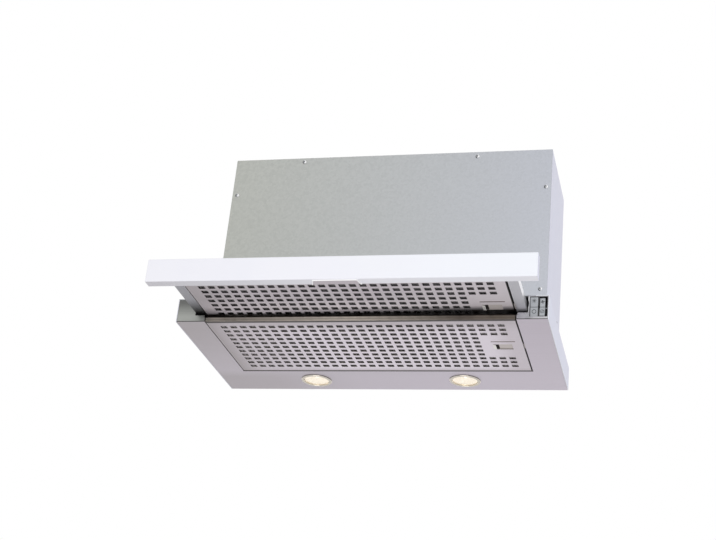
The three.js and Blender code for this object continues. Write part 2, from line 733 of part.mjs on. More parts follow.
// A half disc each side of the bar, hinged near its straight edge; side -1 is the front one.
function damper(name, side) {
  const radius = collarBore - DAMPER_CLEARANCE;
  const start = Math.asin((BAR_WIDTH + DAMPER_CLEARANCE) / 2 / radius);
  const shape = new THREE.Shape();
  shape.absarc(0, 0, radius, start, Math.PI - start, false);
  const geometry = extrude(shape, "z", -DAMPER_THICKNESS / 2, DAMPER_THICKNESS / 2);
  if (side < 0) geometry.rotateZ(Math.PI);
  const mesh = piece(name, geometry, GREY_PLASTIC);
  mesh.position.set(0, outletY, damperZ);
  return mesh;
}

// Cable gland through the top panel: hexagon and dome outside, threaded tail inside.
function cableGland() {
  const foot = boxTop + GAP;
  const hex = foot + GLAND_HEX;
  const tail = foot - GLAND_TAIL;
  const gland = join(
    turned([[0, foot], [GLAND_ACROSS / 2, foot], [GLAND_ACROSS / 2, hex], [0, hex]], 6),
    turned([
      [0, tail], [GLAND_RADIUS, tail], [GLAND_RADIUS, foot + OVERRUN], [0, foot + OVERRUN],
    ], COARSE),
    turned([
      [0, hex - OVERRUN], [GLAND_DOME_RADIUS, hex - OVERRUN], [GLAND_DOME_RADIUS, hex + GLAND_DOME / 2],
      [GLAND_TIP_RADIUS, hex + GLAND_DOME], [0, hex + GLAND_DOME],
    ], COARSE),
  );
  const mesh = piece("cable_gland", gland, BLACK_PLASTIC);
  mesh.position.set(glandX, glandY, 0);
  return mesh;
}

// The terminal box hangs under the top panel, round the tail of the gland.
function terminalBox() {
  const top = boxTop - SHEET - GAP;
  const plan = outline(rectangle(-TERMINAL_WIDTH / 2, TERMINAL_WIDTH / 2, -TERMINAL_DEPTH / 2,
    TERMINAL_DEPTH / 2));
  const radius = GLAND_RADIUS + GAP;
  const floor = top - GLAND_TAIL - GAP;
  const rim = top + OVERRUN;
  const well = turned([[0, floor], [radius, floor], [radius, rim], [0, rim]], COARSE);
  const box = cut(extrude(plan, "z", top - TERMINAL_HEIGHT, top), well);
  const mesh = piece("terminal_box", box, BLACK_PLASTIC);
  mesh.position.set(glandX, glandY, 0);
  return mesh;
}

// The motor's capacitor is bolted end-on to the back panel.
function capacitor() {
  const can = turned([
    [0, 0], [CAPACITOR_RADIUS, 0], [CAPACITOR_RADIUS, CAPACITOR_LENGTH - SHEET],
    [CAPACITOR_RADIUS - SHEET, CAPACITOR_LENGTH], [0, CAPACITOR_LENGTH],
  ], COARSE);
  const mesh = piece("capacitor", can.rotateX(Math.PI / 2), GREY_PLASTIC);
  mesh.position.set(glandX, -SHEET - GAP, CAPACITOR_HEIGHT);
  return mesh;
}

// ---------------------------------------------------------------- grease filter

// Middles of the holes, from the front left corner of the filter, without those round the latch.
function holeCentres() {
  const columns = Math.floor((filterWidth - 2 * PLAIN_SIDE) / COLUMN_PITCH) + 1;
  const rows = Math.floor((filterDepth - FIRST_ROW - PLAIN_EDGE) / ROW_PITCH) + 1;
  const centres = [];
  for (let row = 0; row < rows; row += 1) {
    for (let column = 0; column < columns; column += 1) {
      const x = (column - (columns - 1) / 2) * COLUMN_PITCH;
      const y = FIRST_ROW + row * ROW_PITCH;
      const byLatch = x > filterSide - LATCH_BLANK_WIDTH
        && Math.abs(y - LATCH_FROM_FRONT) < LATCH_BLANK_DEPTH / 2;
      if (!byLatch) centres.push([x, y]);
    }
  }
  return centres;
}

// One punch for each place, all as one cutting tool. Places are middles in X, Y.
function punches(places, width, depth, from, to) {
  return mergeGeometries(places.map(([x, y]) => new THREE.BoxGeometry(width, depth, to - from)
    .translate(x, y, (from + to) / 2)));
}

const latchX = filterSide - LATCH_INSET;
const noseHalf = LATCH_WINDOW_DEPTH / 2 - LATCH_MARGIN;
const latchTop = FILTER_SHEET + GAP + LATCH_PLATE + LATCH_NOSE;

// Folded tray of sheet with four turned-up edges, two hooks on the left edge and the thumb ramp.
function filterTray() {
  const plan = outline(rectangle(-filterSide, filterSide, 0, filterDepth));
  const floor = outline(rectangle(FILTER_SHEET - filterSide, filterSide - FILTER_SHEET,
    FILTER_SHEET, filterDepth - FILTER_SHEET));
  const block = extrude(plan, "z", 0, FILTER_THICKNESS);
  const inside = extrude(floor, "z", FILTER_SHEET, FILTER_THICKNESS + OVERRUN);
  const hooks = hookPlaces().map((y) => {
    const tongue = outline(rectangle(-filterSide - HOOK_REACH, -filterSide + FILTER_SHEET / 2,
      y - HOOK_WIDTH / 2, y + HOOK_WIDTH / 2));
    return extrude(tongue, "z", FILTER_THICKNESS - FILTER_SHEET, FILTER_THICKNESS);
  });
  const rampEnd = latchX - LATCH_WINDOW_WIDTH / 2;
  const ramp = outline([
    [rampEnd - RAMP_LENGTH, FILTER_SHEET / 2], [rampEnd - RAMP_LENGTH, 0], [rampEnd, -RAMP_HEIGHT],
    [rampEnd, FILTER_SHEET / 2],
  ]);
  const thumbRamp = extrude(ramp, "y", LATCH_FROM_FRONT - noseHalf, LATCH_FROM_FRONT + noseHalf);
  return join(cut(block, inside), ...hooks, thumbRamp);
}

// The tray with its rows of holes, the latch window and the groove in front of it. The right edge has
// the slot for the latch's nose.
function filterGrille(name) {
  const above = FILTER_SHEET + OVERRUN;
  const holes = punches(holeCentres(), HOLE_WIDTH, HOLE_DEPTH, -OVERRUN, above);
  const window = punches([[latchX, LATCH_FROM_FRONT]], LATCH_WINDOW_WIDTH, LATCH_WINDOW_DEPTH,
    -OVERRUN, above);
  const groove = punches([[latchX, LATCH_FROM_FRONT - GROOVE_AHEAD]], GROOVE_LENGTH, GROOVE_WIDTH,
    -OVERRUN, GROOVE_DEPTH);
  const slot = outline(rectangle(filterSide - 2 * FILTER_SHEET, filterSide + OVERRUN,
    LATCH_FROM_FRONT - noseHalf - GAP, LATCH_FROM_FRONT + noseHalf + GAP));
  const noseSlot = extrude(slot, "z", FILTER_SHEET, latchTop + GAP);
  return piece(name, cut(filterTray(), holes, window, groove, noseSlot), ALUMINIUM);
}

function hookPlaces() {
  return [filterDepth * HOOK_INSET, filterDepth * (1 - HOOK_INSET)];
}

// Pressed layers of expanded aluminium, cut away round the latch.
function filterMesh(name) {
  const inset = FILTER_SHEET + GAP;
  const clear = LATCH_BLANK_WIDTH - COLUMN_PITCH / 2;
  const half = (LATCH_BLANK_DEPTH - ROW_PITCH) / 2;
  const side = filterSide - inset;
  const plan = outline([
    [-side, inset], [side, inset], [side, LATCH_FROM_FRONT - half],
    [filterSide - clear, LATCH_FROM_FRONT - half], [filterSide - clear, LATCH_FROM_FRONT + half],
    [side, LATCH_FROM_FRONT + half], [side, filterDepth - inset], [-side, filterDepth - inset],
  ]);
  const low = FILTER_SHEET + GAP;
  return piece(name, extrude(plan, "z", low, low + MESH_THICKNESS), ALUMINIUM);
}

// Frame that clamps the mesh: a rim that stands on it and crossed bars.
function filterFrame(name) {
  const inset = FILTER_SHEET + GAP;
  const side = filterSide - inset;
  const bayWidth = (2 * side - (FRAME_BAYS + 1) * FRAME_BAR) / FRAME_BAYS;
  const bayDepth = (filterDepth - 2 * inset - 3 * FRAME_BAR) / 2;
  const windows = [];
  for (let bay = 0; bay < FRAME_BAYS; bay += 1) {
    const x = -side + FRAME_BAR + bayWidth / 2 + bay * (bayWidth + FRAME_BAR);
    windows.push([x, inset + FRAME_BAR + bayDepth / 2], [x, filterDepth - inset - FRAME_BAR - bayDepth / 2]);
  }
  const top = FILTER_THICKNESS - GAP;
  const low = top - FILTER_SHEET;
  const plate = extrude(outline(rectangle(-side, side, inset, filterDepth - inset)), "z", low, top);
  const tool = punches(windows, bayWidth, bayDepth, low - OVERRUN, top + OVERRUN);
  return piece(name, cut(plate, tool), ALUMINIUM);
}

// An upturned channel over the sliding plate, fixed to the sheet.
function latchGuide(name) {
  const inner = noseHalf + GAP;
  const outer = inner + FILTER_SHEET;
  const low = FILTER_SHEET + GAP;
  const high = FILTER_THICKNESS - GAP - FILTER_SHEET - GAP;
  const section = outline([
    [LATCH_FROM_FRONT - outer, low], [LATCH_FROM_FRONT - inner, low],
    [LATCH_FROM_FRONT - inner, high - FILTER_SHEET], [LATCH_FROM_FRONT + inner, high - FILTER_SHEET],
    [LATCH_FROM_FRONT + inner, low], [LATCH_FROM_FRONT + outer, low],
    [LATCH_FROM_FRONT + outer, high], [LATCH_FROM_FRONT - outer, high],
  ]);
  const from = latchX - LATCH_WINDOW_WIDTH / 2 - FINGER_SLOT - LATCH_TRAVEL;
  return piece(name, extrude(section, "x", from, filterSide - FILTER_SHEET - GAP), GREY_PLASTIC);
}

// The sliding plate behind the window: a finger tab at its left end and a nose through the right edge.
function latch(name) {
  const low = FILTER_SHEET + GAP;
  const high = low + LATCH_PLATE;
  const tab = latchX - LATCH_WINDOW_WIDTH / 2 + FINGER_SLOT;
  const tip = filterSide + FILTER_GAP - GAP;
  const noseEnd = tip - LATCH_NOSE_LENGTH;
  const section = outline([
    [tab, low], [tip, low], [tip, high], [tip - LATCH_NOSE, latchTop], [noseEnd, latchTop],
    [noseEnd, high], [tab + LATCH_PLATE, high], [tab + LATCH_PLATE, latchTop + LATCH_PLATE],
    [tab, latchTop + LATCH_PLATE],
  ]);
  const geometry = extrude(section, "y", LATCH_FROM_FRONT - noseHalf, LATCH_FROM_FRONT + noseHalf);
  return piece(name, geometry, GREY_PLASTIC);
}

// A whole filter, with its front edge and underside where they are wanted.
function filter(prefix, frontEdge, underside) {
  const group = new THREE.Group();
  group.add(
    filterGrille(`${prefix}_filter_grille`),
    filterMesh(`${prefix}_filter_mesh`),
    filterFrame(`${prefix}_filter_frame`),
    latchGuide(`${prefix}_latch_guide`),
    latch(`${prefix}_latch`),
  );
  group.position.set(0, frontEdge, underside);
  return group;
}

// ---------------------------------------------------------------- visor

const panelTop = PANEL_RISE;
const panelLow = panelTop - PANEL_HEIGHT;
const panelFront = panelBack - PANEL_THICKNESS;

// Hollow white front. Its back is open at both ends, where it passes over the switches, and its
// underside has a splayed notch with a turned-in lip for the fingers.
function visorPanel() {
  const wall = SHEET;
  const block = (inset) => {
    const face = outline(rectangle(inset - baseSide, baseSide - inset, panelLow + inset, panelTop - inset));
    return extrude(face, "y", panelFront + inset, panelBack - inset);
  };
  const endWindow = (side) => {
    const low = panelLow + PANEL_WINDOW_MARGIN;
    const high = panelTop - PANEL_WINDOW_MARGIN;
    const window = outline(onSide(rectangle(railOuter, baseSide - PANEL_WINDOW_MARGIN, low, high), side));
    return extrude(window, "y", panelBack - wall - OVERRUN, panelBack + OVERRUN);
  };
  const notchPlan = (grow, back) => outline([
    [-NOTCH_WIDTH / 2 - grow, panelBack - NOTCH_DEPTH - grow],
    [NOTCH_WIDTH / 2 + grow, panelBack - NOTCH_DEPTH - grow],
    [NOTCH_WIDTH / 2 + NOTCH_SPLAY + grow, back],
    [-NOTCH_WIDTH / 2 - NOTCH_SPLAY - grow, back],
  ]);
  const lipTop = panelLow + NOTCH_DEPTH;
  const lip = extrude(notchPlan(wall, panelBack), "z", panelLow - NOTCH_LIP, lipTop);
  const mouthLow = panelLow - NOTCH_LIP - OVERRUN;
  const mouth = extrude(notchPlan(0, panelBack + OVERRUN), "z", mouthLow, lipTop + OVERRUN);
  const shell = join(cut(block(0), block(wall)), lip);
  return piece("visor_panel", cut(shell, mouth, endWindow(-1), endWindow(1)), WHITE_PAINT);
}

// Front member: an angle against the back of the panel, in front of the filter.
function visorFrontBar() {
  const face = panelBack + GAP;
  const section = outline([
    [face, trayBottom], [trayFilterFront - GAP, trayBottom], [trayFilterFront - GAP, trayBottom + SHEET],
    [face + SHEET, trayBottom + SHEET], [face + SHEET, shelfTop], [face, shelfTop],
  ]);
  return piece("visor_front_bar", extrude(section, "x", GAP - railInner, railInner - GAP), STAINLESS);
}

// Rear member: a low angle, so that the air leaves the tray above it.
function visorRearBar() {
  const face = trayFilterFront + filterDepth + GAP;
  const section = outline([
    [face, trayBottom], [trayRear, trayBottom], [trayRear, trayBottom + SHEET],
    [face + SHEET, trayBottom + SHEET], [face + SHEET, trayBottom + FILTER_THICKNESS],
    [face, trayBottom + FILTER_THICKNESS],
  ]);
  return piece("visor_rear_bar", extrude(section, "x", GAP - railInner, railInner - GAP), STAINLESS);
}

// The plate closes the part of the tray that comes out of the base.
function visorTopPlate() {
  const side = railInner + RAIL_SHELF;
  const plate = outline(rectangle(-side, side, panelBack + GAP, panelBack + GAP + TOP_PLATE_DEPTH));
  return piece("visor_top_plate", extrude(plate, "z", trayTop - SHEET, trayTop), STAINLESS);
}

// Rail: floor, outer lip and inner wall with a top flange that runs on the guide's shelf. The left rail's
// inner wall has a slot for each hook of the filter.
function visorRail(name, side) {
  const section = outline(onSide([
    [railInner, trayBottom], [railOuter, trayBottom], [railOuter, trayBottom + RAIL_LIP],
    [railOuter - SHEET, trayBottom + RAIL_LIP], [railOuter - SHEET, trayBottom + SHEET],
    [railInner + SHEET, trayBottom + SHEET], [railInner + SHEET, shelfTop - SHEET],
    [railInner + RAIL_SHELF, shelfTop - SHEET], [railInner + RAIL_SHELF, shelfTop], [railInner, shelfTop],
  ], side));
  const rail = extrude(section, "y", panelBack + GAP, trayRear);
  if (side > 0) return piece(name, rail, STAINLESS);
  const slots = hookPlaces().map((y) => {
    const middle = trayFilterFront + y;
    const high = trayBottom + FILTER_THICKNESS + GAP;
    const slot = outline(rectangle(-railInner - SHEET - OVERRUN, OVERRUN - railInner,
      middle - HOOK_WIDTH / 2 - GAP, middle + HOOK_WIDTH / 2 + GAP));
    return extrude(slot, "z", high - FILTER_SHEET - 2 * GAP, high);
  });
  return piece(name, cut(rail, ...slots), STAINLESS);
}

// The visor is modelled closed and pulled out by its travel.
function visor() {
  const group = new THREE.Group();
  group.add(
    visorPanel(),
    visorFrontBar(),
    visorRearBar(),
    visorTopPlate(),
    visorRail("visor_rail_left", -1),
    visorRail("visor_rail_right", 1),
    filter("visor", trayFilterFront, trayBottom),
  );
  group.position.y = -VISOR_TRAVEL;
  return group;
}

// ---------------------------------------------------------------- assembly

const group = new THREE.Group();
group.add(
  sidePanel("side_panel_left", -1),
  sidePanel("side_panel_right", 1),
  boxFrontPanel(),
  boxBackPanel(),
  boxTopPanel(),
  baseDeck(),
  bottomPanel(),
  slideGuide("slide_guide_left", -1),
  slideGuide("slide_guide_right", 1),
  switchHousing(),
  ...rockers(),
  ...lamp(-1),
  ...lamp(1),
  scrollWall(),
  scrollSide("scroll_side_left", -1),
  scrollSide("scroll_side_right", 1),
  impeller(),
  motorShaft(),
  motor(),
  motorPlate(),
  outletCollar(),
  damperBar(),
  damper("damper_front", -1),
  damper("damper_rear", 1),
  cableGland(),
  terminalBox(),
  capacitor(),
  filter("base", front + FILTER_SETBACK, bottom),
  visor(),
);

export default group;
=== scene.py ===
import math

import bmesh
import bpy
from mathutils import Matrix, Vector


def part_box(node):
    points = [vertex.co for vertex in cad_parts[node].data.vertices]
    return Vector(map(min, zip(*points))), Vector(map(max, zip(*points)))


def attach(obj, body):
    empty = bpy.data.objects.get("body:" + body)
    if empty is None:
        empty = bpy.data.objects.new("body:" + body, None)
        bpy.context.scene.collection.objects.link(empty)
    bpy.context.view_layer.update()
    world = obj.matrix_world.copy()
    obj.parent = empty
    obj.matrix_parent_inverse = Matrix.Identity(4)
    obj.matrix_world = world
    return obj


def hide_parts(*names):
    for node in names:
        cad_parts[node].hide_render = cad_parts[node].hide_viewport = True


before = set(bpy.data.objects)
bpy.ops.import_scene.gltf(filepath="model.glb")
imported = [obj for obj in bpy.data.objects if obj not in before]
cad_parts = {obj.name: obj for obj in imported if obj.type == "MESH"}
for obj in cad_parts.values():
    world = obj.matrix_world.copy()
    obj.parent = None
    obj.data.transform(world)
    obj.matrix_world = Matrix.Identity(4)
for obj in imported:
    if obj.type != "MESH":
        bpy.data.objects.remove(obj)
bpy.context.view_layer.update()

# ---------------------------------------------------------------- side panels
#
# One sheet a side, folded in a Z: up the base, in along the ledge and up the box. Steel about 1.2 mm
# thick with a smooth white coat; the folds are slightly round and the coat has a faint orange peel.


class Socket:
    """A value in a material, so that its maths reads as an expression."""

    def __init__(self, tree, link):
        self.tree = tree
        self.link = link

    def math(self, operation, first, second=0.0):
        node = self.tree.nodes.new("ShaderNodeMath")
        node.operation = operation
        for slot, value in zip(node.inputs, (first, second)):
            if isinstance(value, Socket):
                self.tree.links.new(value.link, slot)
            else:
                slot.default_value = value
        return Socket(self.tree, node.outputs[0])

    def __add__(self, other):
        return self.math("ADD", self, other)

    def __radd__(self, other):
        return self.math("ADD", other, self)

    def __sub__(self, other):
        return self.math("SUBTRACT", self, other)

    def __rsub__(self, other):
        return self.math("SUBTRACT", other, self)

    def __mul__(self, other):
        return self.math("MULTIPLY", self, other)

    def __rmul__(self, other):
        return self.math("MULTIPLY", other, self)

    def __gt__(self, other):
        return self.math("GREATER_THAN", self, other)

    def __lt__(self, other):
        return self.math("LESS_THAN", self, other)

    def __abs__(self):
        return self.math("ABSOLUTE", self)

    def fraction(self):
        return self.math("FRACT", self)

    def clipped(self):
        return self.math("MINIMUM", self.math("MAXIMUM", self, 0.0), 1.0)


class Finish:
    """A material being made: a Principled shader and the nodes that feed it."""

    def __init__(self, name, **fixed):
        self.material = bpy.data.materials.new(name)
        self.material.use_nodes = True
        self.tree = self.material.node_tree
        self.shader = self.tree.nodes["Principled BSDF"]
        for socket, value in fixed.items():
            self.shader.inputs[socket.replace("_", " ")].default_value = value
        self.place = self.node("ShaderNodeTexCoord", output="Object")
        self.normal = self.node("ShaderNodeNewGeometry", output="Normal")

    def node(self, kind, settings=None, inputs=None, output=0):
        made = self.tree.nodes.new(kind)
        for key, value in (settings or {}).items():
            setattr(made, key, value)
        for key, value in (inputs or {}).items():
            if isinstance(value, Socket):
                self.tree.links.new(value.link, made.inputs[key])
            else:
                made.inputs[key].default_value = value
        return Socket(self.tree, made.outputs[output])

    def noise(self, scale, detail=2, where=None):
        wanted = {"Vector": where or self.place, "Scale": scale, "Detail": detail}
        return self.node("ShaderNodeTexNoise", None, wanted)

    def streaks(self, detail, x, y, z):
        """Noise with a scale of its own along each axis, for brushed, rolled and turned metal."""
        where = self.node("ShaderNodeMapping", None, {"Vector": self.place, "Scale": (x, y, z)})
        return self.noise(1.0, detail, where)

    def part(self, vector, axis):
        """One coordinate of a place or a normal."""
        return self.node("ShaderNodeSeparateXYZ", None, {"Vector": vector}, output=axis)

    def at(self, axis):
        """The place on an axis, in metres."""
        return self.part(self.place, axis)

    def along(self, axis, start, end):
        """Rises from 0 to 1 between two places on an axis, in metres."""
        return ((self.at(axis) - start) * (1 / (end - start))).clipped()

    def facing(self, way):
        """1 on the surfaces that look mostly one way, such as "-Z"."""
        toward = self.part(self.normal, way[-1])
        return toward < -0.6 if way[0] == "-" else toward > 0.6

    def blend(self, mask, first, second):
        """The first colour where mask is 0, the second where it is 1."""
        # A colour Mix node has its factor at 0 and its two colours at 6 and 7.
        return self.node(
            "ShaderNodeMix", {"data_type": "RGBA"}, {0: mask, 6: first, 7: second}, output=2
        )

    def layered(self, colour, *layers):
        """A colour with others laid over it in turn, each where its mask says."""
        for mask, over in layers:
            colour = self.blend(mask, colour, over)
        return colour

    def feed(self, socket, value):
        self.tree.links.new(value.link, self.shader.inputs[socket])

    def bump(self, height, distance):
        wanted = {"Height": height, "Distance": distance, "Strength": 1.0}
        self.feed("Normal", self.node("ShaderNodeBump", None, wanted))


def piece(name, bm, finish, body, stands_for=None):
    """Makes the mesh a piece of the hood that moves with a CAD body and may stand for a CAD node."""
    mesh = bpy.data.meshes.new(name)
    bm.to_mesh(mesh)
    bm.free()
    mesh.materials.append(finish.material)
    made = bpy.data.objects.new(name, mesh)
    bpy.context.scene.collection.objects.link(made)
    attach(made, body)
    if stands_for:
        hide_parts(stands_for)


def softened(node, width, steps=2, least=25, keep=None):
    """A CAD node's mesh with its folds and cut edges rounded off; the flats stay flat."""
    bm = bmesh.new()
    bm.from_mesh(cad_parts[node].data)
    bmesh.ops.remove_doubles(bm, verts=bm.verts, dist=2e-6)
    bmesh.ops.dissolve_limit(
        bm, angle_limit=math.radians(0.5), verts=bm.verts, edges=bm.edges, use_dissolve_boundaries=False
    )
    for face in bm.faces:
        face.smooth = False
    sharp = [edge for edge in bm.edges if edge.calc_face_angle(0) > math.radians(least)]
    if keep:
        sharp = [edge for edge in sharp if keep(edge)]
    rounded = bmesh.ops.bevel(
        bm, geom=sharp, offset=width, offset_type="OFFSET", segments=steps, profile=0.5,
        affect="EDGES", material=-1, clamp_overlap=True,
    )
    for face in rounded["faces"]:
        face.smooth = True
    return bm


def dressed(node, kind, finish, body, slot, width, **rounding):
    """The piece for a CAD node that keeps the node's shape, with its edges softened."""
    piece(f"{node}_{kind}", softened(node, width, **rounding), finish, body, node)


def srgb(red, green, blue):
    """A colour given as the photo's 0 to 255 levels."""
    def linear(level):
        share = level / 255
        return share / 12.92 if share <= 0.04045 else ((share + 0.055) / 1.055) ** 2.4
    return (linear(red), linear(green), linear(blue), 1.0)


# The same coat is on the visor's front, whose finger notch has a lip that hangs below the front's foot.
sheet_gauge = 0.0012
visor_front_low, visor_front_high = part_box("visor_panel")
visor_foot = visor_front_low.z + 0.0015

white_coat = Finish("white_coat", Coat_Weight=0.25, Coat_Roughness=0.12)
height = white_coat.at("Z")
of_visor_front = white_coat.at("Y") < visor_front_high.y + 0.01
# Painted shade: the right side is a little darker and bluer, as the cool light from the right falls on it;
# its base part is painted a shade lighter than its box part.
shaded_right_side = white_coat.blend(height < -sheet_gauge / 2, srgb(211, 212, 236), srgb(216, 218, 242))
ledge_edge = white_coat.facing("-Y") * (abs(height + sheet_gauge / 2) < 0.0008) * (1 - of_visor_front)
coat = white_coat.layered(
    white_coat.blend(white_coat.noise(9, 3), srgb(236, 237, 246), srgb(243, 243, 249)),
    # Painted shade: the undersides darken towards the left.
    (white_coat.facing("-Z") * white_coat.along("X", 0.05, -0.29), srgb(210, 209, 216)),
    (white_coat.facing("X"), shaded_right_side),
    (ledge_edge, srgb(176, 180, 184)),
    # Painted shade: the front faces turn a little darker and bluer towards the right.
    (0.8 * white_coat.facing("-Y") * white_coat.along("X", -0.05, 0.25), srgb(232, 236, 243)),
    # Painted highlight: the finger notch's lip below the foot is pure white.
    (of_visor_front * (height < visor_foot - 0.0001), srgb(255, 255, 255)),
)
white_coat.feed("Base Color", coat)
white_coat.feed("Roughness", 0.3 + 0.1 * white_coat.noise(60, 4))
white_coat.bump(white_coat.noise(700), 0.00002)

for node in ("side_panel_left", "side_panel_right"):
    dressed(node, "coated", white_coat, "housing", "white_paint", 0.0005)

# ---------------------------------------------------------------- motor box
#
# Front, back and top of galvanised sheet, 1.2 mm, with a fine matt spangle. Pan-head screws hold the
# front to the side panels' flanges and the folded top; the back is spot-welded to the flanges.

front_low, front_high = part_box("box_front_panel")
weld_column = 0.271
weld_pitch = 1 / 18
weld_radius = 0.00245

galvanised = Finish("galvanised", Metallic=0.55)
spangle = galvanised.node(
    "ShaderNodeTexVoronoi", {"feature": "F1", "distance": "EUCLIDEAN"},
    {"Vector": galvanised.place, "Scale": 260.0, "Randomness": 1.0}, output="Color",
)
crystal = galvanised.node("ShaderNodeSeparateColor", None, {"Color": spangle}, output="Red")
grain = galvanised.noise(1500)
shade = (0.35 * crystal + 0.65 * grain).clipped()
# Painted light: the sheet goes from a warm grey on the left to a cool grey on the right, as the bluish
# light from the right falls on it.
warm = galvanised.blend(shade, srgb(162, 164, 159), srgb(192, 194, 188))
cool = galvanised.blend(shade, srgb(160, 163, 170), srgb(190, 193, 201))
from_column = abs(galvanised.at("X")) - weld_column
from_row = ((galvanised.at("Z") * (1 / weld_pitch)).fraction() - 0.5) * weld_pitch
weld = (from_column * from_column + from_row * from_row) < weld_radius ** 2
sheet = galvanised.layered(
    galvanised.blend(galvanised.along("X", front_low.x, front_high.x), warm, cool),
    (0.6 * weld * galvanised.facing("Y"), srgb(96, 96, 100)),
)
galvanised.feed("Base Color", sheet)
galvanised.feed("Roughness", 0.42 + 0.16 * crystal)
galvanised.bump(0.6 * grain + 0.4 * crystal, 0.00003)

for node in ("box_front_panel", "box_back_panel", "box_top_panel", "base_deck"):
    dressed(node, "sheet", galvanised, "housing", "galvanised", 0.0003)

# The left flank of a head is in shade and its right flank catches the light.
zinc = Finish("zinc_plated", Metallic=0.5)
lean = zinc.part(zinc.normal, "X")
plate = zinc.layered(
    zinc.blend(zinc.noise(900), srgb(198, 200, 204), srgb(226, 228, 232)),
    ((lean * -2.5).clipped(), srgb(90, 92, 92)),
    ((lean * 2.5).clipped(), srgb(255, 255, 255)),
)
zinc.feed("Base Color", plate)
zinc.feed("Roughness", 0.28 + 0.14 * zinc.noise(500))

# Painted shade: this dark material stands for the shade inside screw recesses and small holes.
recess = Finish("screw_recess", Roughness=0.8)
recess.feed("Base Color", recess.blend(recess.noise(900), srgb(74, 74, 78), srgb(104, 104, 108)))


def from_profile(profile, steps, closed):
    """A profile of radius and height, in metres, turned about Z."""
    bm = bmesh.new()
    points = [bm.verts.new((radius, 0, height)) for radius, height in profile]
    following = points[1:] + points[:1] if closed else points[1:]
    for first, second in zip(points, following):
        bm.edges.new((first, second))
    bmesh.ops.spin(
        bm, geom=bm.edges[:], cent=(0, 0, 0), axis=(0, 0, 1), dvec=(0, 0, 0), angle=math.tau,
        steps=steps, use_merge=True, use_duplicate=False,
    )
    bmesh.ops.remove_doubles(bm, verts=bm.verts, dist=1e-6)
    bmesh.ops.dissolve_degenerate(bm, dist=1e-7, edges=bm.edges)
    bmesh.ops.recalc_face_normals(bm, faces=bm.faces)
    return bm


def placed_copies(single, places, facing):
    """Copies of a mesh that stands along +Z, turned to face another way, as one mesh."""
    turn = Vector((0, 0, 1)).rotation_difference(Vector(facing)).to_matrix().to_4x4()
    carrier = bpy.data.meshes.new("carrier")
    single.to_mesh(carrier)
    single.free()
    whole = bmesh.new()
    for place in places:
        before = len(whole.verts)
        whole.from_mesh(carrier)
        whole.verts.ensure_lookup_table()
        bmesh.ops.transform(whole, matrix=Matrix.Translation(place) @ turn, verts=whole.verts[before:])
    bpy.data.meshes.remove(carrier)
    return whole


def screws(name, places, facing, radius):
    """Pan heads on a surface at the given places, with a cross recess in each, drawn as a dark cross of
    painted shade.
    """
    height = 0.002
    head = from_profile([
        (0.0, height), (radius * 0.5, height * 0.97), (radius * 0.82, height * 0.75),
        (radius * 0.97, height * 0.35), (radius, 0.0),
    ], 24, closed=False)
    for face in head.faces:
        face.smooth = True
    piece(f"{name}_heads", placed_copies(head, places, facing), zinc, "housing")
    cross = bmesh.new()
    for turn in (0.5, 0.5 + math.pi / 2):
        arm = bmesh.ops.create_cube(cross, size=1)["verts"]
        bmesh.ops.scale(cross, vec=(radius * 1.2, radius * 0.26, height * 0.12), verts=arm)
        bmesh.ops.translate(cross, vec=(0, 0, height * 0.96), verts=arm)
        bmesh.ops.rotate(cross, cent=(0, 0, 0), matrix=Matrix.Rotation(turn, 3, "Z"), verts=arm)
    piece(f"{name}_crosses", placed_copies(cross, places, facing), recess, "housing")


def pilot_holes(name, places, facing, radius):
    """Small holes in a sheet, shown as thin discs on it, painted dark as the shade inside them."""
    disc = from_profile([(0.0, 0.00008), (radius * 0.93, 0.00006), (radius, 0.0)], 16, closed=False)
    piece(name, placed_copies(disc, places, facing), recess, "housing")


top_left, top_right = (-0.1548, 0.3162), (0.1525, 0.3151)
upper_left, upper_right = (-0.2712, 0.2533), (0.2713, 0.2522)
lower_left, lower_right = (-0.2689, 0.0641), (0.2689, 0.0641)
screws("box_front_screws", [
    (x, front_low.y, z)
    for x, z in (top_left, top_right, upper_right, upper_left, lower_right, lower_left)
], (0, -1, 0), radius=0.0034)

pilot_holes("box_front_hole", [(0.24, front_low.y, 0.0658)], (0, -1, 0), radius=0.0015)
for end, side in (("left", -1), ("right", 1)):
    panel = bpy.data.objects[f"side_panel_{end}_coated"]
    _, on_panel, _, _ = panel.ray_cast(Vector((side * 0.4, -0.034, 0.069)), Vector((-side, 0, 0)))
    pilot_holes(f"box_side_hole_{end}", [on_panel], (side, 0, 0), radius=0.0028)

# ---------------------------------------------------------------- underside and fascia
#
# One folded stainless sheet: bands beside and behind the filter opening, a turned-up edge round the
# opening, and the two fascia ends. Satin brushed across, with rolled cut edges.

base_low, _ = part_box("bottom_panel")
tray_low, tray_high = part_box("base_filter_grille")
opening_half_width = 0.2505
opening_rear = tray_high.y + 0.0016
slot_end = 0.2485
switch_end = 0.268

stainless = Finish("brushed_stainless", Metallic=0.85)
streak = stainless.streaks(4, 5, 900, 900)
patch = stainless.noise(5)

# Painted light: the underside is lighter towards the rear, less so at the rear left.
behind = stainless.along("Y", -0.26, -0.06)
behind = behind * (1 - 0.8 * stainless.along("Y", -0.09, -0.06) * stainless.along("X", -0.05, -0.2))
# Painted shadow: a dark line along the turned-up edge behind the filter opening.
turned_edge_shadow = abs(stainless.at("Y") - opening_rear) < 0.0009
turned_edge_shadow = turned_edge_shadow * (abs(stainless.at("X")) < opening_half_width)
# Painted light: the underside is lighter and more lavender towards the right.
below = stainless.blend(
    stainless.along("X", -0.3, 0.15),
    stainless.blend(streak, srgb(190, 184, 187), srgb(204, 198, 202)),
    stainless.blend(streak, srgb(212, 204, 215), srgb(226, 218, 229)),
)
below = stainless.layered(
    below,
    (0.5 * behind, srgb(236, 229, 241)),
    (0.8 * turned_edge_shadow, srgb(84, 78, 78)),
)
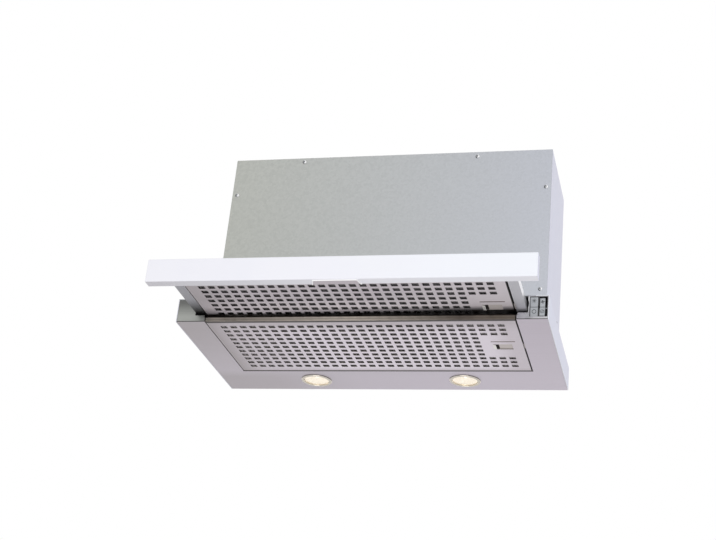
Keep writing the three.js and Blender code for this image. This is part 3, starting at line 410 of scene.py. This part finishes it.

# Painted shadow: the visor's shadow darkens the upper fascia, left of the middle.
visor_shadow = stainless.along("Z", base_low.z + 0.009, base_low.z + 0.033)
visor_shadow = visor_shadow * stainless.along("X", 0.1, 0.0)
# Painted light: a lighter band on the fascia between the visor's slot and the switches.
beside_slot = stainless.along("X", slot_end - 0.001, slot_end)
beside_slot = beside_slot * stainless.along("X", switch_end, switch_end - 0.006)
# Painted shade: the fascia is a little darker and warmer on its left than on its right.
fascia = stainless.blend(
    stainless.along("X", 0.0, 0.2),
    stainless.blend(streak, srgb(152, 154, 150), srgb(168, 170, 166)),
    stainless.blend(streak, srgb(156, 156, 160), srgb(172, 172, 176)),
)
fascia = stainless.layered(
    fascia,
    (0.85 * visor_shadow, srgb(88, 89, 88)),
    (0.5 * beside_slot, srgb(214, 213, 218)),
    # Painted dark reflection along the fold at the fascia's foot.
    (stainless.along("Z", base_low.z + 0.0015, base_low.z + 0.0011), srgb(70, 70, 68)),
)

upright = stainless.facing("Y") + stainless.facing("-Y")
stainless.feed("Base Color", stainless.blend(upright, below, fascia))
stainless.feed("Roughness", 0.28 + 0.12 * streak + 0.06 * patch)
stainless.bump(streak, 0.00002)

dressed("bottom_panel", "sheet", stainless, "housing", "stainless", 0.0003)

# ---------------------------------------------------------------- slide guides
#
# A C-section of plain steel under the deck on each side, spot-welded at its lug; the visor's rail
# runs in it. Darkened by rolling oil.

rolled = Finish("rolled_steel", Metallic=0.8)
mill = rolled.streaks(3, 300, 6, 300)
rolled.feed("Base Color", rolled.blend(mill, srgb(96, 96, 98), srgb(128, 128, 130)))
rolled.feed("Roughness", 0.38 + 0.16 * mill)
rolled.bump(mill, 0.00002)

for node in ("slide_guide_left", "slide_guide_right"):
    dressed(node, "section", rolled, "housing", "dark_steel", 0.0003)

# ---------------------------------------------------------------- switches
#
# A black moulded housing with two rockers of light grey plastic: the light's is wide and the fan's
# narrow. Each rocker has a mark moulded in dark grey in each half, for on and for off.

black_moulding = Finish("black_moulding")
speck = black_moulding.noise(1200)
black_moulding.feed("Base Color", black_moulding.blend(speck, srgb(34, 34, 36), srgb(50, 50, 53)))
black_moulding.feed("Roughness", 0.44 + 0.14 * speck)
black_moulding.bump(speck, 0.00004)

rocker_ridge = -0.0191
grey_moulding = Finish("grey_moulding")
speck = grey_moulding.noise(1200)
# Painted shade: a dark line along the crease at each rocker's ridge.
on_ridge = (abs(grey_moulding.at("Z") - rocker_ridge) < 0.0005) * grey_moulding.facing("-Y")
plastic = grey_moulding.layered(
    grey_moulding.blend(speck, srgb(169, 173, 178), srgb(181, 185, 190)),
    (on_ridge, srgb(70, 72, 76)),
)
grey_moulding.feed("Base Color", plastic)
grey_moulding.feed("Roughness", 0.36 + 0.14 * speck)
grey_moulding.bump(speck, 0.00003)

dressed("switch_housing", "moulded", black_moulding, "housing", "black_plastic", 0.0002)
for rocker in ("light_rocker", "fan_rocker"):
    dressed(rocker, "moulded", grey_moulding, rocker, "grey_plastic", 0.0004)

mark_grey = Finish("mark_grey", Roughness=0.5)
mark_grey.feed("Base Color", mark_grey.blend(mark_grey.noise(900), srgb(70, 73, 76), srgb(86, 90, 94)))


def only_verts(made):
    """The vertices among the parts that an operator made."""
    return [part for part in made if isinstance(part, bmesh.types.BMVert)]


def ring_mark(bm, outer, inner):
    circle = bmesh.ops.create_circle(bm, cap_ends=False, segments=28, radius=outer)["verts"]
    inside = bmesh.ops.create_circle(bm, cap_ends=False, segments=28, radius=inner)["verts"]
    edges = {edge for vert in circle + inside for edge in vert.link_edges}
    bmesh.ops.bridge_loops(bm, edges=list(edges))


def bar_mark(bm, length, width, turn, out=0.0):
    bar = bmesh.ops.create_grid(bm, x_segments=1, y_segments=1, size=0.5)["verts"]
    bmesh.ops.scale(bm, vec=(length, width, 1), verts=bar)
    bmesh.ops.translate(bm, vec=(out, 0, 0), verts=bar)
    bmesh.ops.rotate(bm, cent=(0, 0, 0), matrix=Matrix.Rotation(turn, 3, "Z"), verts=bar)


def blade_mark(bm, turn):
    blade = bmesh.ops.create_circle(bm, cap_ends=True, segments=14, radius=0.0012)["verts"]
    bmesh.ops.scale(bm, vec=(1.25, 0.8, 1), verts=blade)
    bmesh.ops.translate(bm, vec=(0.0016, 0.0005, 0), verts=blade)
    bmesh.ops.rotate(bm, cent=(0, 0, 0), matrix=Matrix.Rotation(turn, 3, "Z"), verts=blade)


def lamp_mark(bm):
    ring_mark(bm, 0.0016, 0.0003)
    for index in range(8):
        bar_mark(bm, 0.0014, 0.0006, math.tau * index / 8, out=0.0028)


def fan_mark(bm):
    for index in range(4):
        blade_mark(bm, math.tau * index / 4)


def light_off_mark(bm):
    ring_mark(bm, 0.0035, 0.0025)


def fan_off_mark(bm):
    ring_mark(bm, 0.0031, 0.0023)
    bar_mark(bm, 0.0054, 0.0007, 0.8)


def mark(name, rocker, x, z, draw):
    """Lays a flat mark on the rocker's face at x, z and gives it a little thickness."""
    bm = bmesh.new()
    draw(bm)
    raised = bmesh.ops.extrude_face_region(bm, geom=bm.faces[:])["geom"]
    bmesh.ops.translate(bm, vec=(0, 0, 0.00025), verts=only_verts(raised))
    bmesh.ops.recalc_face_normals(bm, faces=bm.faces)
    moulded = bpy.data.objects[f"{rocker}_moulded"]
    _, point, normal, _ = moulded.ray_cast(Vector((x, -0.4, z)), Vector((0, 1, 0)))
    turn = Vector((0, 0, 1)).rotation_difference(normal).to_matrix().to_4x4()
    seat = Matrix.Translation(point - normal * 0.0001) @ turn
    bmesh.ops.transform(bm, matrix=seat, verts=bm.verts)
    piece(name, bm, mark_grey, rocker)


mark("light_on_mark", "light_rocker", 0.2762, -0.0092, lamp_mark)
mark("light_off_mark", "light_rocker", 0.2762, -0.0262, light_off_mark)
mark("fan_on_mark", "fan_rocker", 0.2887, -0.0102, fan_mark)
mark("fan_off_mark", "fan_rocker", 0.2887, -0.0267, fan_off_mark)

# ---------------------------------------------------------------- lamps
#
# Two recessed lamps in the strip behind the filter: a polished turned housing with a thin bezel, a
# faceted bowl reflector with a small bulb, and a clear glass held by the bezel's lip.


def turned(profile, centre, steps=64, axis=(0, 0, 1), smooth=True):
    """A closed profile turned about an axis through centre."""
    bm = placed_copies(from_profile(profile, steps, closed=True), [centre], axis)
    for face in bm.faces:
        face.smooth = smooth
    for edge in bm.edges:
        edge.smooth = edge.calc_face_angle(0) < math.radians(32)
    return bm


def turning_centre(low, high, axis):
    """The middle of a box, put at 0 on the axis that its piece is turned about."""
    middle = (low + high) / 2
    setattr(middle, axis, 0)
    return middle


polished = Finish("polished_metal", Metallic=1.0)
swirl = polished.streaks(3, 60, 60, 1500)
# Painted shade: a dark ring in the gap under each lamp's bezel.
under_bezel = abs(polished.at("Z") - base_low.z + 0.0002) < 0.0006
metal = polished.layered(
    polished.blend(swirl, srgb(236, 228, 214), srgb(252, 246, 236)),
    (under_bezel, srgb(84, 68, 56)),
)
polished.feed("Base Color", metal)
polished.feed("Roughness", 0.1 + 0.14 * swirl)

lit_bowl = Finish("lit_bowl", Roughness=0.25, Emission_Strength=0.72)
glow = lit_bowl.noise(220, 3)
lit_bowl.feed("Base Color", lit_bowl.blend(glow, srgb(150, 142, 128), srgb(176, 170, 160)))
lit_bowl.feed("Emission Color", lit_bowl.blend(glow, (0.90, 0.79, 0.62, 1), (1.0, 0.95, 0.86, 1)))

bulb_glow = Finish("bulb_glow", Roughness=0.3, Emission_Strength=1.2)
hot = bulb_glow.noise(300)
bulb_glow.feed("Base Color", bulb_glow.blend(hot, srgb(255, 248, 232), srgb(255, 253, 246)))
bulb_glow.feed("Emission Color", bulb_glow.blend(hot, (1.0, 0.88, 0.66, 1), (1.0, 0.94, 0.8, 1)))

clear_glass = Finish("clear_glass", IOR=1.5)
smear = clear_glass.noise(40, 3)
clear_glass.feed("Base Color", clear_glass.blend(smear, srgb(250, 250, 250), srgb(255, 255, 255)))
clear_glass.feed("Alpha", 0.08 + 0.08 * smear)
clear_glass.feed("Roughness", 0.04 + 0.06 * smear)

cup_wall = 0.0009
lead_hole = 0.006
bowl_curve = [(1.0, 0.0), (0.93, 0.22), (0.8, 0.46), (0.62, 0.7), (0.42, 0.88), (0.28, 0.96)]
bulb = 0.0042
for end in ("left", "right"):
    low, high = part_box(f"lamp_housing_{end}")
    glass_low, glass_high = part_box(f"lamp_glass_{end}")
    bowl_low, bowl_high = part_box(f"lamp_reflector_{end}")
    centre = turning_centre(low, high, "z")
    bezel = (high.x - low.x) / 2
    glass = (glass_high.x - glass_low.x) / 2
    lip = glass - 0.0002
    cup = glass + 0.0018
    bore = cup - cup_wall
    seat = glass_low.z - 0.0003
    piece(
        f"lamp_housing_{end}_turned",
        turned([
            (lip, low.z + 0.0004), (lip + 0.0003, low.z), (bezel - 0.0006, low.z + 0.0002),
            (bezel, low.z + 0.0008), (bezel, seat), (cup, seat), (cup, high.z - 0.001),
            (cup - 0.001, high.z), (lead_hole, high.z), (lead_hole, high.z - cup_wall),
            (bore, high.z - cup_wall - 0.0004), (bore, seat), (lip, seat),
        ], centre),
        polished, "housing", f"lamp_housing_{end}",
    )
    piece(
        f"lamp_glass_{end}_clear",
        turned([
            (0.0, glass_low.z), (glass - 0.0003, glass_low.z), (glass, glass_low.z + 0.0003),
            (glass, glass_high.z), (0.0, glass_high.z),
        ], centre),
        clear_glass, "housing", f"lamp_glass_{end}",
    )
    rise = bowl_high.z - bowl_low.z
    inner = [(glass * reach, bowl_low.z + rise * up) for reach, up in bowl_curve]
    outer = [(radius + 0.0007, height + 0.0005) for radius, height in reversed(inner)]
    outer[-1] = (inner[0][0], inner[0][1] + 0.0009)
    piece(
        f"lamp_reflector_{end}_faceted", turned(inner + outer, centre, steps=18, smooth=False),
        lit_bowl, "housing", f"lamp_reflector_{end}",
    )
    tip = bowl_low.z + 0.004
    piece(
        f"lamp_bulb_{end}",
        turned([
            (0.0, tip), (bulb * 0.5, tip + 0.0006), (bulb * 0.87, tip + 0.002), (bulb, tip + 0.0042),
            (bulb, bowl_high.z - 0.002), (0.0, bowl_high.z - 0.002),
        ], centre, steps=24),
        bulb_glow, "housing",
    )

# ---------------------------------------------------------------- blower
#
# A galvanised scroll, spot-welded along its edges, with the drum of blades on the motor's shaft. The
# motor is a lacquered can on a three-armed plate outside the scroll's left side.

for node in ("scroll_wall", "scroll_side_left", "scroll_side_right"):
    dressed(node, "sheet", galvanised, "housing", "galvanised", 0.0002, steps=1, least=40)
dressed("impeller", "drum", galvanised, "impeller", "galvanised", 0.0002, steps=1, least=40)

shaft_low, shaft_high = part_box("motor_shaft")
shaft = (shaft_high.y - shaft_low.y) / 2
shaft_centre = turning_centre(shaft_low, shaft_high, "x")
piece(
    "motor_shaft_ground",
    turned([
        (0.0, shaft_low.x), (shaft - 0.0005, shaft_low.x), (shaft, shaft_low.x + 0.0005),
        (shaft, shaft_high.x - 0.0005), (shaft - 0.0005, shaft_high.x), (0.0, shaft_high.x),
    ], shaft_centre, steps=32, axis=(1, 0, 0)),
    polished, "impeller", "motor_shaft",
)

dressed("motor_plate", "pressed", rolled, "housing", "dark_steel", 0.0003)

can_low, can_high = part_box("motor")
can = (can_high.y - can_low.y) / 2
bore = shaft + 0.0003
bore_floor = can_high.x - 0.0125
piece(
    "motor_can",
    turned([
        (0.0, can_low.x), (can - 0.008, can_low.x), (can - 0.003, can_low.x + 0.002),
        (can, can_low.x + 0.008), (can, can_high.x - 0.012), (can - 0.0012, can_high.x - 0.0115),
        (can - 0.0012, can_high.x - 0.0095), (can, can_high.x - 0.009), (can, can_high.x),
        (bore, can_high.x), (bore, bore_floor), (0.0, bore_floor),
    ], shaft_centre, axis=(1, 0, 0)),
    black_moulding, "housing", "motor",
)

# ---------------------------------------------------------------- outlet and electrics
#
# A rolled spigot for the duct, screwed to the top by its flange, with two moulded flaps that lift
# with the air. The mains lead's gland, the terminal box and the capacitor are moulded in plastic.

collar_low, collar_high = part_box("outlet_collar")
collar_centre = turning_centre(collar_low, collar_high, "z")
flange = (collar_high.x - collar_low.x) / 2
flange_top = collar_low.z + sheet_gauge
spigot = flange - 0.011
inside = spigot - sheet_gauge
stop = inside - 0.003
stop_top = collar_low.z + 0.0049
top = collar_high.z
piece(
    "outlet_collar_rolled",
    turned([
        (stop, collar_low.z), (flange, collar_low.z), (flange, flange_top), (spigot + 0.001, flange_top),
        (spigot, flange_top + 0.001), (spigot, top - 0.009), (spigot + 0.0006, top - 0.008),
        (spigot + 0.0006, top - 0.006), (spigot, top - 0.005), (spigot, top - 0.0003),
        (spigot - 0.0003, top), (inside, top), (inside, stop_top), (stop, stop_top),
    ], collar_centre, steps=96),
    galvanised, "housing", "outlet_collar",
)
screw_circle = flange - 0.0052
quarters = [math.radians(45 + 90 * quarter) for quarter in range(4)]
screws("collar_screws", [
    collar_centre + Vector((screw_circle * math.cos(turn), screw_circle * math.sin(turn), flange_top))
    for turn in quarters
], (0, 0, 1), radius=0.003)

dressed("damper_bar", "moulded", grey_moulding, "housing", "grey_plastic", 0.0002, least=40)
for flap in ("damper_front", "damper_rear"):
    dressed(flap, "moulded", grey_moulding, flap, "grey_plastic", 0.0002, least=40)

gland_low, gland_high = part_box("cable_gland")
gland_centre = turning_centre(gland_low, gland_high, "z")
foot = gland_low.z + 0.012
nut = 0.0119
nut_top = foot + 0.005
hexagon = turned([
    (0.0, foot), (nut, foot), (nut, nut_top - 0.0004), (nut - 0.0007, nut_top), (0.0, nut_top),
], gland_centre, steps=6, smooth=False)
thread = 0.008
neck = 0.007
dome = turned([
    (0.0, gland_low.z), (thread, gland_low.z), (thread, nut_top + 0.0002), (neck, nut_top + 0.0005),
    (neck, nut_top + 0.0055), (neck - 0.0007, nut_top + 0.0078), (0.005, gland_high.z),
    (0.0034, gland_high.z), (0.003, gland_high.z - 0.003), (0.0, gland_high.z - 0.003),
], gland_centre, steps=48)
carrier = bpy.data.meshes.new("dome")
dome.to_mesh(carrier)
dome.free()
hexagon.from_mesh(carrier)
bpy.data.meshes.remove(carrier)
piece("cable_gland_moulded", hexagon, black_moulding, "housing", "cable_gland")

dressed("terminal_box", "moulded", black_moulding, "housing", "black_plastic", 0.001, steps=3, least=40)

store_low, store_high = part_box("capacitor")
store = (store_high.x - store_low.x) / 2
piece(
    "capacitor_can",
    turned([
        (0.0, -store_high.y), (store, -store_high.y), (store, -store_low.y - 0.002),
        (store - 0.002, -store_low.y), (0.0, -store_low.y),
    ], turning_centre(store_low, store_high, "y"), steps=48, axis=(0, -1, 0)),
    grey_moulding, "housing", "capacitor",
)

# ---------------------------------------------------------------- grease filters
#
# Two alike: a tray of satin aluminium sheet punched with rows of oblong holes, layers of expanded
# mesh on it, a frame that clamps the mesh, and a sliding latch behind a window at the right.

visor_tray_low, visor_tray_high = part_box("visor_filter_grille")
between_trays = (tray_high.z + visor_tray_low.z) / 2

aluminium = Finish("satin_aluminium")
streak = aluminium.streaks(4, 6, 700, 700)
along_x = aluminium.at("X")
along_y = aluminium.at("Y")
height = aluminium.at("Z")
of_base = height < between_trays
of_visor = height > between_trays
up_tray = height - tray_low.z - of_visor * (visor_tray_low.z - tray_low.z)
back_tray = along_y - tray_low.y - of_visor * (visor_tray_low.y - tray_low.y)

# Beside the base the visor's tray is duller, so that it doesn't mirror the base's lip. Inside the base it
# is painted dark, as shade.
near_base = aluminium.along("Y", base_low.y - 0.049, base_low.y - 0.022) * of_visor
near_base = near_base * aluminium.along("X", -0.29, -0.2) * (1 - 0.5 * aluminium.along("X", 0.05, 0.2))
inside = aluminium.along("Y", base_low.y - 0.018, base_low.y - 0.002) * aluminium.along("X", -0.14, 0.14)
inside = (inside + aluminium.along("Y", base_low.y, base_low.y + 0.008)).clipped() * of_visor
shade_inside_base = aluminium.blend(aluminium.along("X", -0.08, -0.25), srgb(22, 19, 16), srgb(82, 73, 64))

# Painted light: the visor's tray is lighter towards the right.
bright_visor = 0.35 * aluminium.along("X", 0.05, 0.2) * of_visor
# Painted shade: the left ends of both trays are darker.
shaded_left_end = 0.65 * aluminium.along("X", -0.16, -0.26) * of_visor * (1 - near_base)
shaded_left_end = shaded_left_end + 0.6 * aluminium.along("X", -0.21, -0.245) * of_base
# Painted light: a bright pool over the middle of the base filter, fading towards its ends, front and rear.
middle = aluminium.along("X", -0.25, -0.08) * (1 - 0.65 * aluminium.along("X", 0.195, 0.23))
middle = middle * aluminium.along("Y", tray_low.y + 0.0136, tray_low.y + 0.0456)
middle = middle * aluminium.along("Y", tray_high.y - 0.0024, tray_high.y - 0.0134) * of_base

# The latch's window has a pressed groove before it and a thumb ramp that hangs a little lower.
pressed = abs(up_tray - 0.0014) < 0.0002
# Painted shadow: the groove before the latch's window is a dark line.
groove = (abs(back_tray - 0.086) < 0.0011) * (abs(along_x - 0.2176) < 0.0192)
# Painted highlight: the thumb ramp is white.
ramp = up_tray < 0.00095
# Painted shadow: a dark band along the rear edge of the trays.
rear_edge = aluminium.along("Y", tray_high.y - 0.0026, tray_high.y - 0.002)
# Painted shade: a near-black strip along the visor tray's right edge, for the gap beside the rail.
visor_right = aluminium.along("X", visor_tray_high.x - 0.0022, visor_tray_high.x - 0.0016) * of_visor
# Painted shade: dark strips at both ends of the base tray, for the gaps at the opening's sides.
base_ends = ((along_x > tray_high.x - 0.0008) + (along_x < tray_low.x + 0.0008)) * of_base
# Painted shade: the base tray's front margin is dark, in the fascia's shade.
base_front = (along_y < tray_low.y + 0.0057) * of_base
face = aluminium.layered(
    aluminium.blend(streak, srgb(206, 198, 204), srgb(228, 220, 227)),
    (bright_visor, srgb(252, 246, 250)),
    (shaded_left_end, srgb(168, 162, 162)),
    (middle, srgb(253, 245, 255)),
    (pressed, srgb(138, 114, 107)),
    (groove, srgb(104, 80, 74)),
    (rear_edge, srgb(84, 78, 78)),
    (visor_right, srgb(20, 18, 18)),
    (base_ends, srgb(62, 56, 56)),
    (inside, shade_inside_base),
    (ramp, srgb(255, 253, 250)),
    (0.9 * base_front, srgb(48, 43, 40)),
)

# Painted light and shade on the trays' front lips: darker at the left end, lightest left of the middle,
# dark on the right, and dark along the top; a faint darker line runs across them 4.6 mm up.
lip_left = aluminium.blend(aluminium.along("X", -0.2, -0.04), srgb(178, 172, 161), srgb(230, 224, 209))
lip = aluminium.layered(
    aluminium.blend(aluminium.along("X", 0.0, 0.16), lip_left, srgb(121, 114, 104)),
    (0.3 * (abs(height - tray_low.z - 0.0046) < 0.0009), srgb(90, 84, 76)),
    (aluminium.along("Z", tray_low.z + 0.0075, tray_low.z + 0.0085), srgb(34, 31, 28)),
)
aluminium.feed("Base Color", aluminium.blend(aluminium.facing("-Y"), face, lip))
aluminium.feed("Metallic", 0.9 - 0.7 * near_base)
aluminium.feed("Roughness", 0.28 + 0.12 * streak)
aluminium.bump(streak, 0.00002)

strand = Finish("expanded_strand", Metallic=0.9)
cut = strand.noise(700, 3)
of_visor = strand.at("Z") > between_trays
base_ends = (strand.along("X", -0.12, -0.22) + strand.along("X", 0.08, 0.2)) * (1 - of_visor)
inside = strand.along("Y", base_low.y - 0.005, base_low.y + 0.006) * of_visor
# Painted shade: the strands are dark, for the shade among the layers of mesh. Painted light makes them
# lighter towards both ends of the base filter. Inside the base the visor's strands are painted nearly
# black.
wire = strand.layered(
    strand.blend(cut, srgb(96, 94, 94), srgb(168, 165, 165)),
    (base_ends, strand.blend(cut, srgb(186, 182, 184), srgb(250, 246, 248))),
    (inside, srgb(24, 22, 20)),
)
strand.feed("Base Color", wire)
strand.feed("Roughness", 0.28 + 0.2 * cut)

# Painted shade: the frame is dark, for the shade among the mesh layers that it clamps.
frame_shade = Finish("frame_shade_aluminium", Metallic=0.7)
film = frame_shade.noise(90, 4)
frame_shade.feed("Base Color", frame_shade.blend(film, srgb(62, 60, 58), srgb(92, 90, 88)))
frame_shade.feed("Roughness", 0.5 + 0.2 * film)

latch_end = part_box("base_latch")[0].x
latch_satin = Finish("latch_satin", Metallic=0.35)
fine = latch_satin.noise(1100)
# Painted shade: a dark strip just left of the latch, for the finger slot in the window.
pocket = latch_satin.along("X", latch_end - 0.0079, latch_end - 0.0073)
pocket = pocket * latch_satin.along("X", latch_end - 0.0003, latch_end - 0.0009)
satin = latch_satin.layered(
    latch_satin.blend(fine, srgb(200, 192, 189), srgb(214, 206, 203)),
    (0.85 * pocket, srgb(34, 29, 27)),
)
latch_satin.feed("Base Color", satin)
latch_satin.feed("Roughness", 0.34 + 0.14 * fine)
latch_satin.bump(fine, 0.00002)


def expanded_mesh(low, high):
    """Rows of zigzag strands that meet at their points, as slit and stretched sheet does.

    The net is cut away round the latch.
    """
    long_way, short_way, width, thickness = 0.0062, 0.0036, 0.0008, 0.0005
    columns = 2 * int((high.x - low.x) / long_way)
    rows = int((high.y - low.y - width) / short_way)
    bm = bmesh.new()
    strip = bmesh.ops.create_grid(bm, x_segments=columns, y_segments=1, size=0.5)["verts"]
    bmesh.ops.scale(bm, vec=(columns * long_way / 2, width, 1), verts=strip)
    left = -columns * long_way / 4
    for vert in strip:
        if round((vert.co.x - left) / (long_way / 2)) % 2:
            vert.co.y += (short_way - width) / 2
            vert.co.z += thickness
    mirrored = bmesh.ops.duplicate(bm, geom=bm.verts[:] + bm.edges[:] + bm.faces[:])["geom"]
    turned_over = only_verts(mirrored)
    bmesh.ops.scale(bm, vec=(1, -1, 1), verts=turned_over)
    bmesh.ops.translate(bm, vec=(0, short_way - width, 0), verts=turned_over)
    bmesh.ops.recalc_face_normals(bm, faces=bm.faces)
    thick = bmesh.ops.extrude_face_region(bm, geom=bm.faces[:])["geom"]
    bmesh.ops.translate(bm, vec=(0, 0, thickness / 2), verts=only_verts(thick))
    bmesh.ops.spin(
        bm, geom=bm.verts[:] + bm.edges[:] + bm.faces[:], cent=(0, 0, 0), axis=(0, 0, 1),
        dvec=(0, short_way, 0), angle=0, steps=rows - 1, use_merge=False, use_duplicate=True,
    )
    middle = Vector(((low.x + high.x) / 2, low.y + width / 2, low.z + 0.0001))
    bmesh.ops.translate(bm, vec=middle, verts=bm.verts)
    bmesh.ops.recalc_face_normals(bm, faces=bm.faces)
    latch_left = high.x - 0.054
    latch_middle = low.y + 0.106
    latch_half = 0.031
    by_latch = []
    for face in bm.faces:
        centre = face.calc_center_median()
        if centre.x > latch_left and abs(centre.y - latch_middle) < latch_half:
            by_latch.append(face)
    bmesh.ops.delete(bm, geom=by_latch, context="FACES")
    cut_ends = [edge for edge in bm.edges if edge.is_boundary]
    bmesh.ops.holes_fill(bm, edges=cut_ends, sides=4)
    return bm


for owner, body in (("base", "base_filter"), ("visor", "visor")):
    dressed(f"{owner}_filter_grille", "punched", aluminium, body, "aluminium", 0.0002, steps=1, least=40)
    net = f"{owner}_filter_mesh"
    piece(f"{net}_expanded", expanded_mesh(*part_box(net)), strand, body, net)
    dressed(f"{owner}_filter_frame", "pressed", frame_shade, body, "aluminium", 0.0002)
    dressed(f"{owner}_latch_guide", "moulded", latch_satin, body, "grey_plastic", 0.0002)
    latch = f"{owner}_latch"
    dressed(latch, "moulded", latch_satin, latch, "grey_plastic", 0.0003)

# ---------------------------------------------------------------- visor
#
# A white hollow front with a finger notch below, on two rails with a front and a rear bar between
# them; a plate closes the tray's top where it comes out of the base. Rails and bars are bare steel.

rail_steel = Finish("rail_steel", Metallic=0.8)
drawn = rail_steel.streaks(4, 900, 6, 900)
rightward = rail_steel.along("X", -0.1, 0.1)
facing_out = rail_steel.facing("X") + rail_steel.facing("-X")
inside = rail_steel.along("Y", base_low.y - 0.056, base_low.y - 0.006)
# Painted light: the rails and bars are lighter on the right.
metal = rail_steel.blend(
    rightward,
    rail_steel.blend(drawn, srgb(168, 168, 174), srgb(188, 188, 194)),
    rail_steel.blend(drawn, srgb(200, 200, 206), srgb(220, 220, 226)),
)
metal = rail_steel.layered(
    metal,
    # Painted highlight: the rails' outer sides are near white.
    (facing_out, srgb(244, 244, 248)),
    # Painted shade: the rails darken towards the base and inside it, the right one only a little except on
    # its outer side.
    (inside * (0.95 - 0.8 * rightward * (1 - facing_out)), srgb(40, 40, 38)),
)
rail_steel.feed("Base Color", metal)
rail_steel.feed("Roughness", 0.3 + 0.16 * drawn)
rail_steel.bump(drawn, 0.00002)

outer_low = Vector((visor_front_low.x, visor_front_low.y, visor_foot))


def on_outside(edge):
    """True for the edges between two of the visor front's outer faces."""
    middle = (edge.verts[0].co + edge.verts[1].co) / 2
    away = sorted(
        min(abs(middle[axis] - outer_low[axis]), abs(middle[axis] - visor_front_high[axis]))
        for axis in range(3)
    )
    return away[1] < 1e-5


dressed("visor_panel", "coated", white_coat, "visor", "white_paint", 0.0008, steps=3, keep=on_outside)
for node in ("visor_front_bar", "visor_rear_bar", "visor_top_plate", "visor_rail_left", "visor_rail_right"):
    dressed(node, "steel", rail_steel, "visor", "stainless", 0.0003)

# ---------------------------------------------------------------- floor, light and camera
#
# The hood hangs in front of a plain white backdrop over a pale floor, lit softly from the front and
# the right; the camera is below it, in front and a little to the right, as in the photograph.

floor_mesh = bmesh.new()
bmesh.ops.create_grid(floor_mesh, x_segments=1, y_segments=1, size=12)
bmesh.ops.translate(floor_mesh, vec=(0, 0, -2.6), verts=floor_mesh.verts)
floor_data = bpy.data.meshes.new("floor")
floor_mesh.to_mesh(floor_data)
floor_mesh.free()
floor = bpy.data.objects.new("floor", floor_data)
bpy.context.scene.collection.objects.link(floor)
pale = Finish("pale_floor", Roughness=0.9)
pale.feed("Base Color", pale.blend(pale.noise(2, 3), srgb(243, 242, 242), srgb(248, 247, 247)))
floor_data.materials.append(pale.material)

# The world is white to the camera and in gloss and glass, and dimmer as a light.
world = bpy.data.worlds.new("studio")
bpy.context.scene.world = world
world.use_nodes = True
sky = world.node_tree
background = sky.nodes["Background"]
background.inputs["Color"].default_value = (1, 1, 1, 1)
path = sky.nodes.new("ShaderNodeLightPath")
seen = Socket(sky, path.outputs["Is Camera Ray"])
mirrored = Socket(sky, path.outputs["Is Glossy Ray"])
through = Socket(sky, path.outputs["Is Transmission Ray"])
direct = (seen + mirrored + through).clipped()
strength = 0.62 + 0.38 * direct
sky.links.new(strength.link, background.inputs["Strength"])


def soft_light(name, place, target, size, power, colour):
    lamp = bpy.data.lights.new(name, "AREA")
    lamp.size = size
    lamp.energy = power
    lamp.color = colour
    made = bpy.data.objects.new(name, lamp)
    made.location = place
    made.rotation_euler = (Vector(target) - Vector(place)).to_track_quat("-Z", "Y").to_euler()
    bpy.context.scene.collection.objects.link(made)


soft_light("front_light", (0.6, -3.2, 0.5), (0, -0.2, 0.1), 2.4, 31, (1.0, 0.995, 0.985))
soft_light("right_light", (3.0, -1.0, 0.2), (0, -0.2, 0.1), 2.0, 5, (0.8, 0.85, 1.0))
soft_light("under_light", (0.2, -1.6, -2.0), (0, -0.2, 0.0), 2.0, 12, (1.0, 0.98, 0.97))

# The camera's place and turn were fitted to the corners of the hood in the photograph.
camera_place = (0.552226, -2.268994, -0.916894)
yaw, pitch, roll = 0.2753, 0.4396, 0.1031
forward = Vector((-math.sin(yaw) * math.cos(pitch), math.cos(yaw) * math.cos(pitch), math.sin(pitch)))
level = Vector((math.cos(yaw), math.sin(yaw), 0))
upwards = level.cross(forward)
right = level * math.cos(roll) + upwards * math.sin(roll)
up = upwards * math.cos(roll) - level * math.sin(roll)
camera = bpy.data.objects.new("camera", bpy.data.cameras.new("camera"))
camera.data.sensor_width = 36
camera.data.lens = 72
camera.data.clip_end = 50
camera.matrix_world = Matrix.Translation(camera_place) @ Matrix((right, up, -forward)).transposed().to_4x4()
bpy.context.scene.collection.objects.link(camera)
bpy.context.scene.camera = camera
bpy.context.scene.view_settings.view_transform = "Standard"
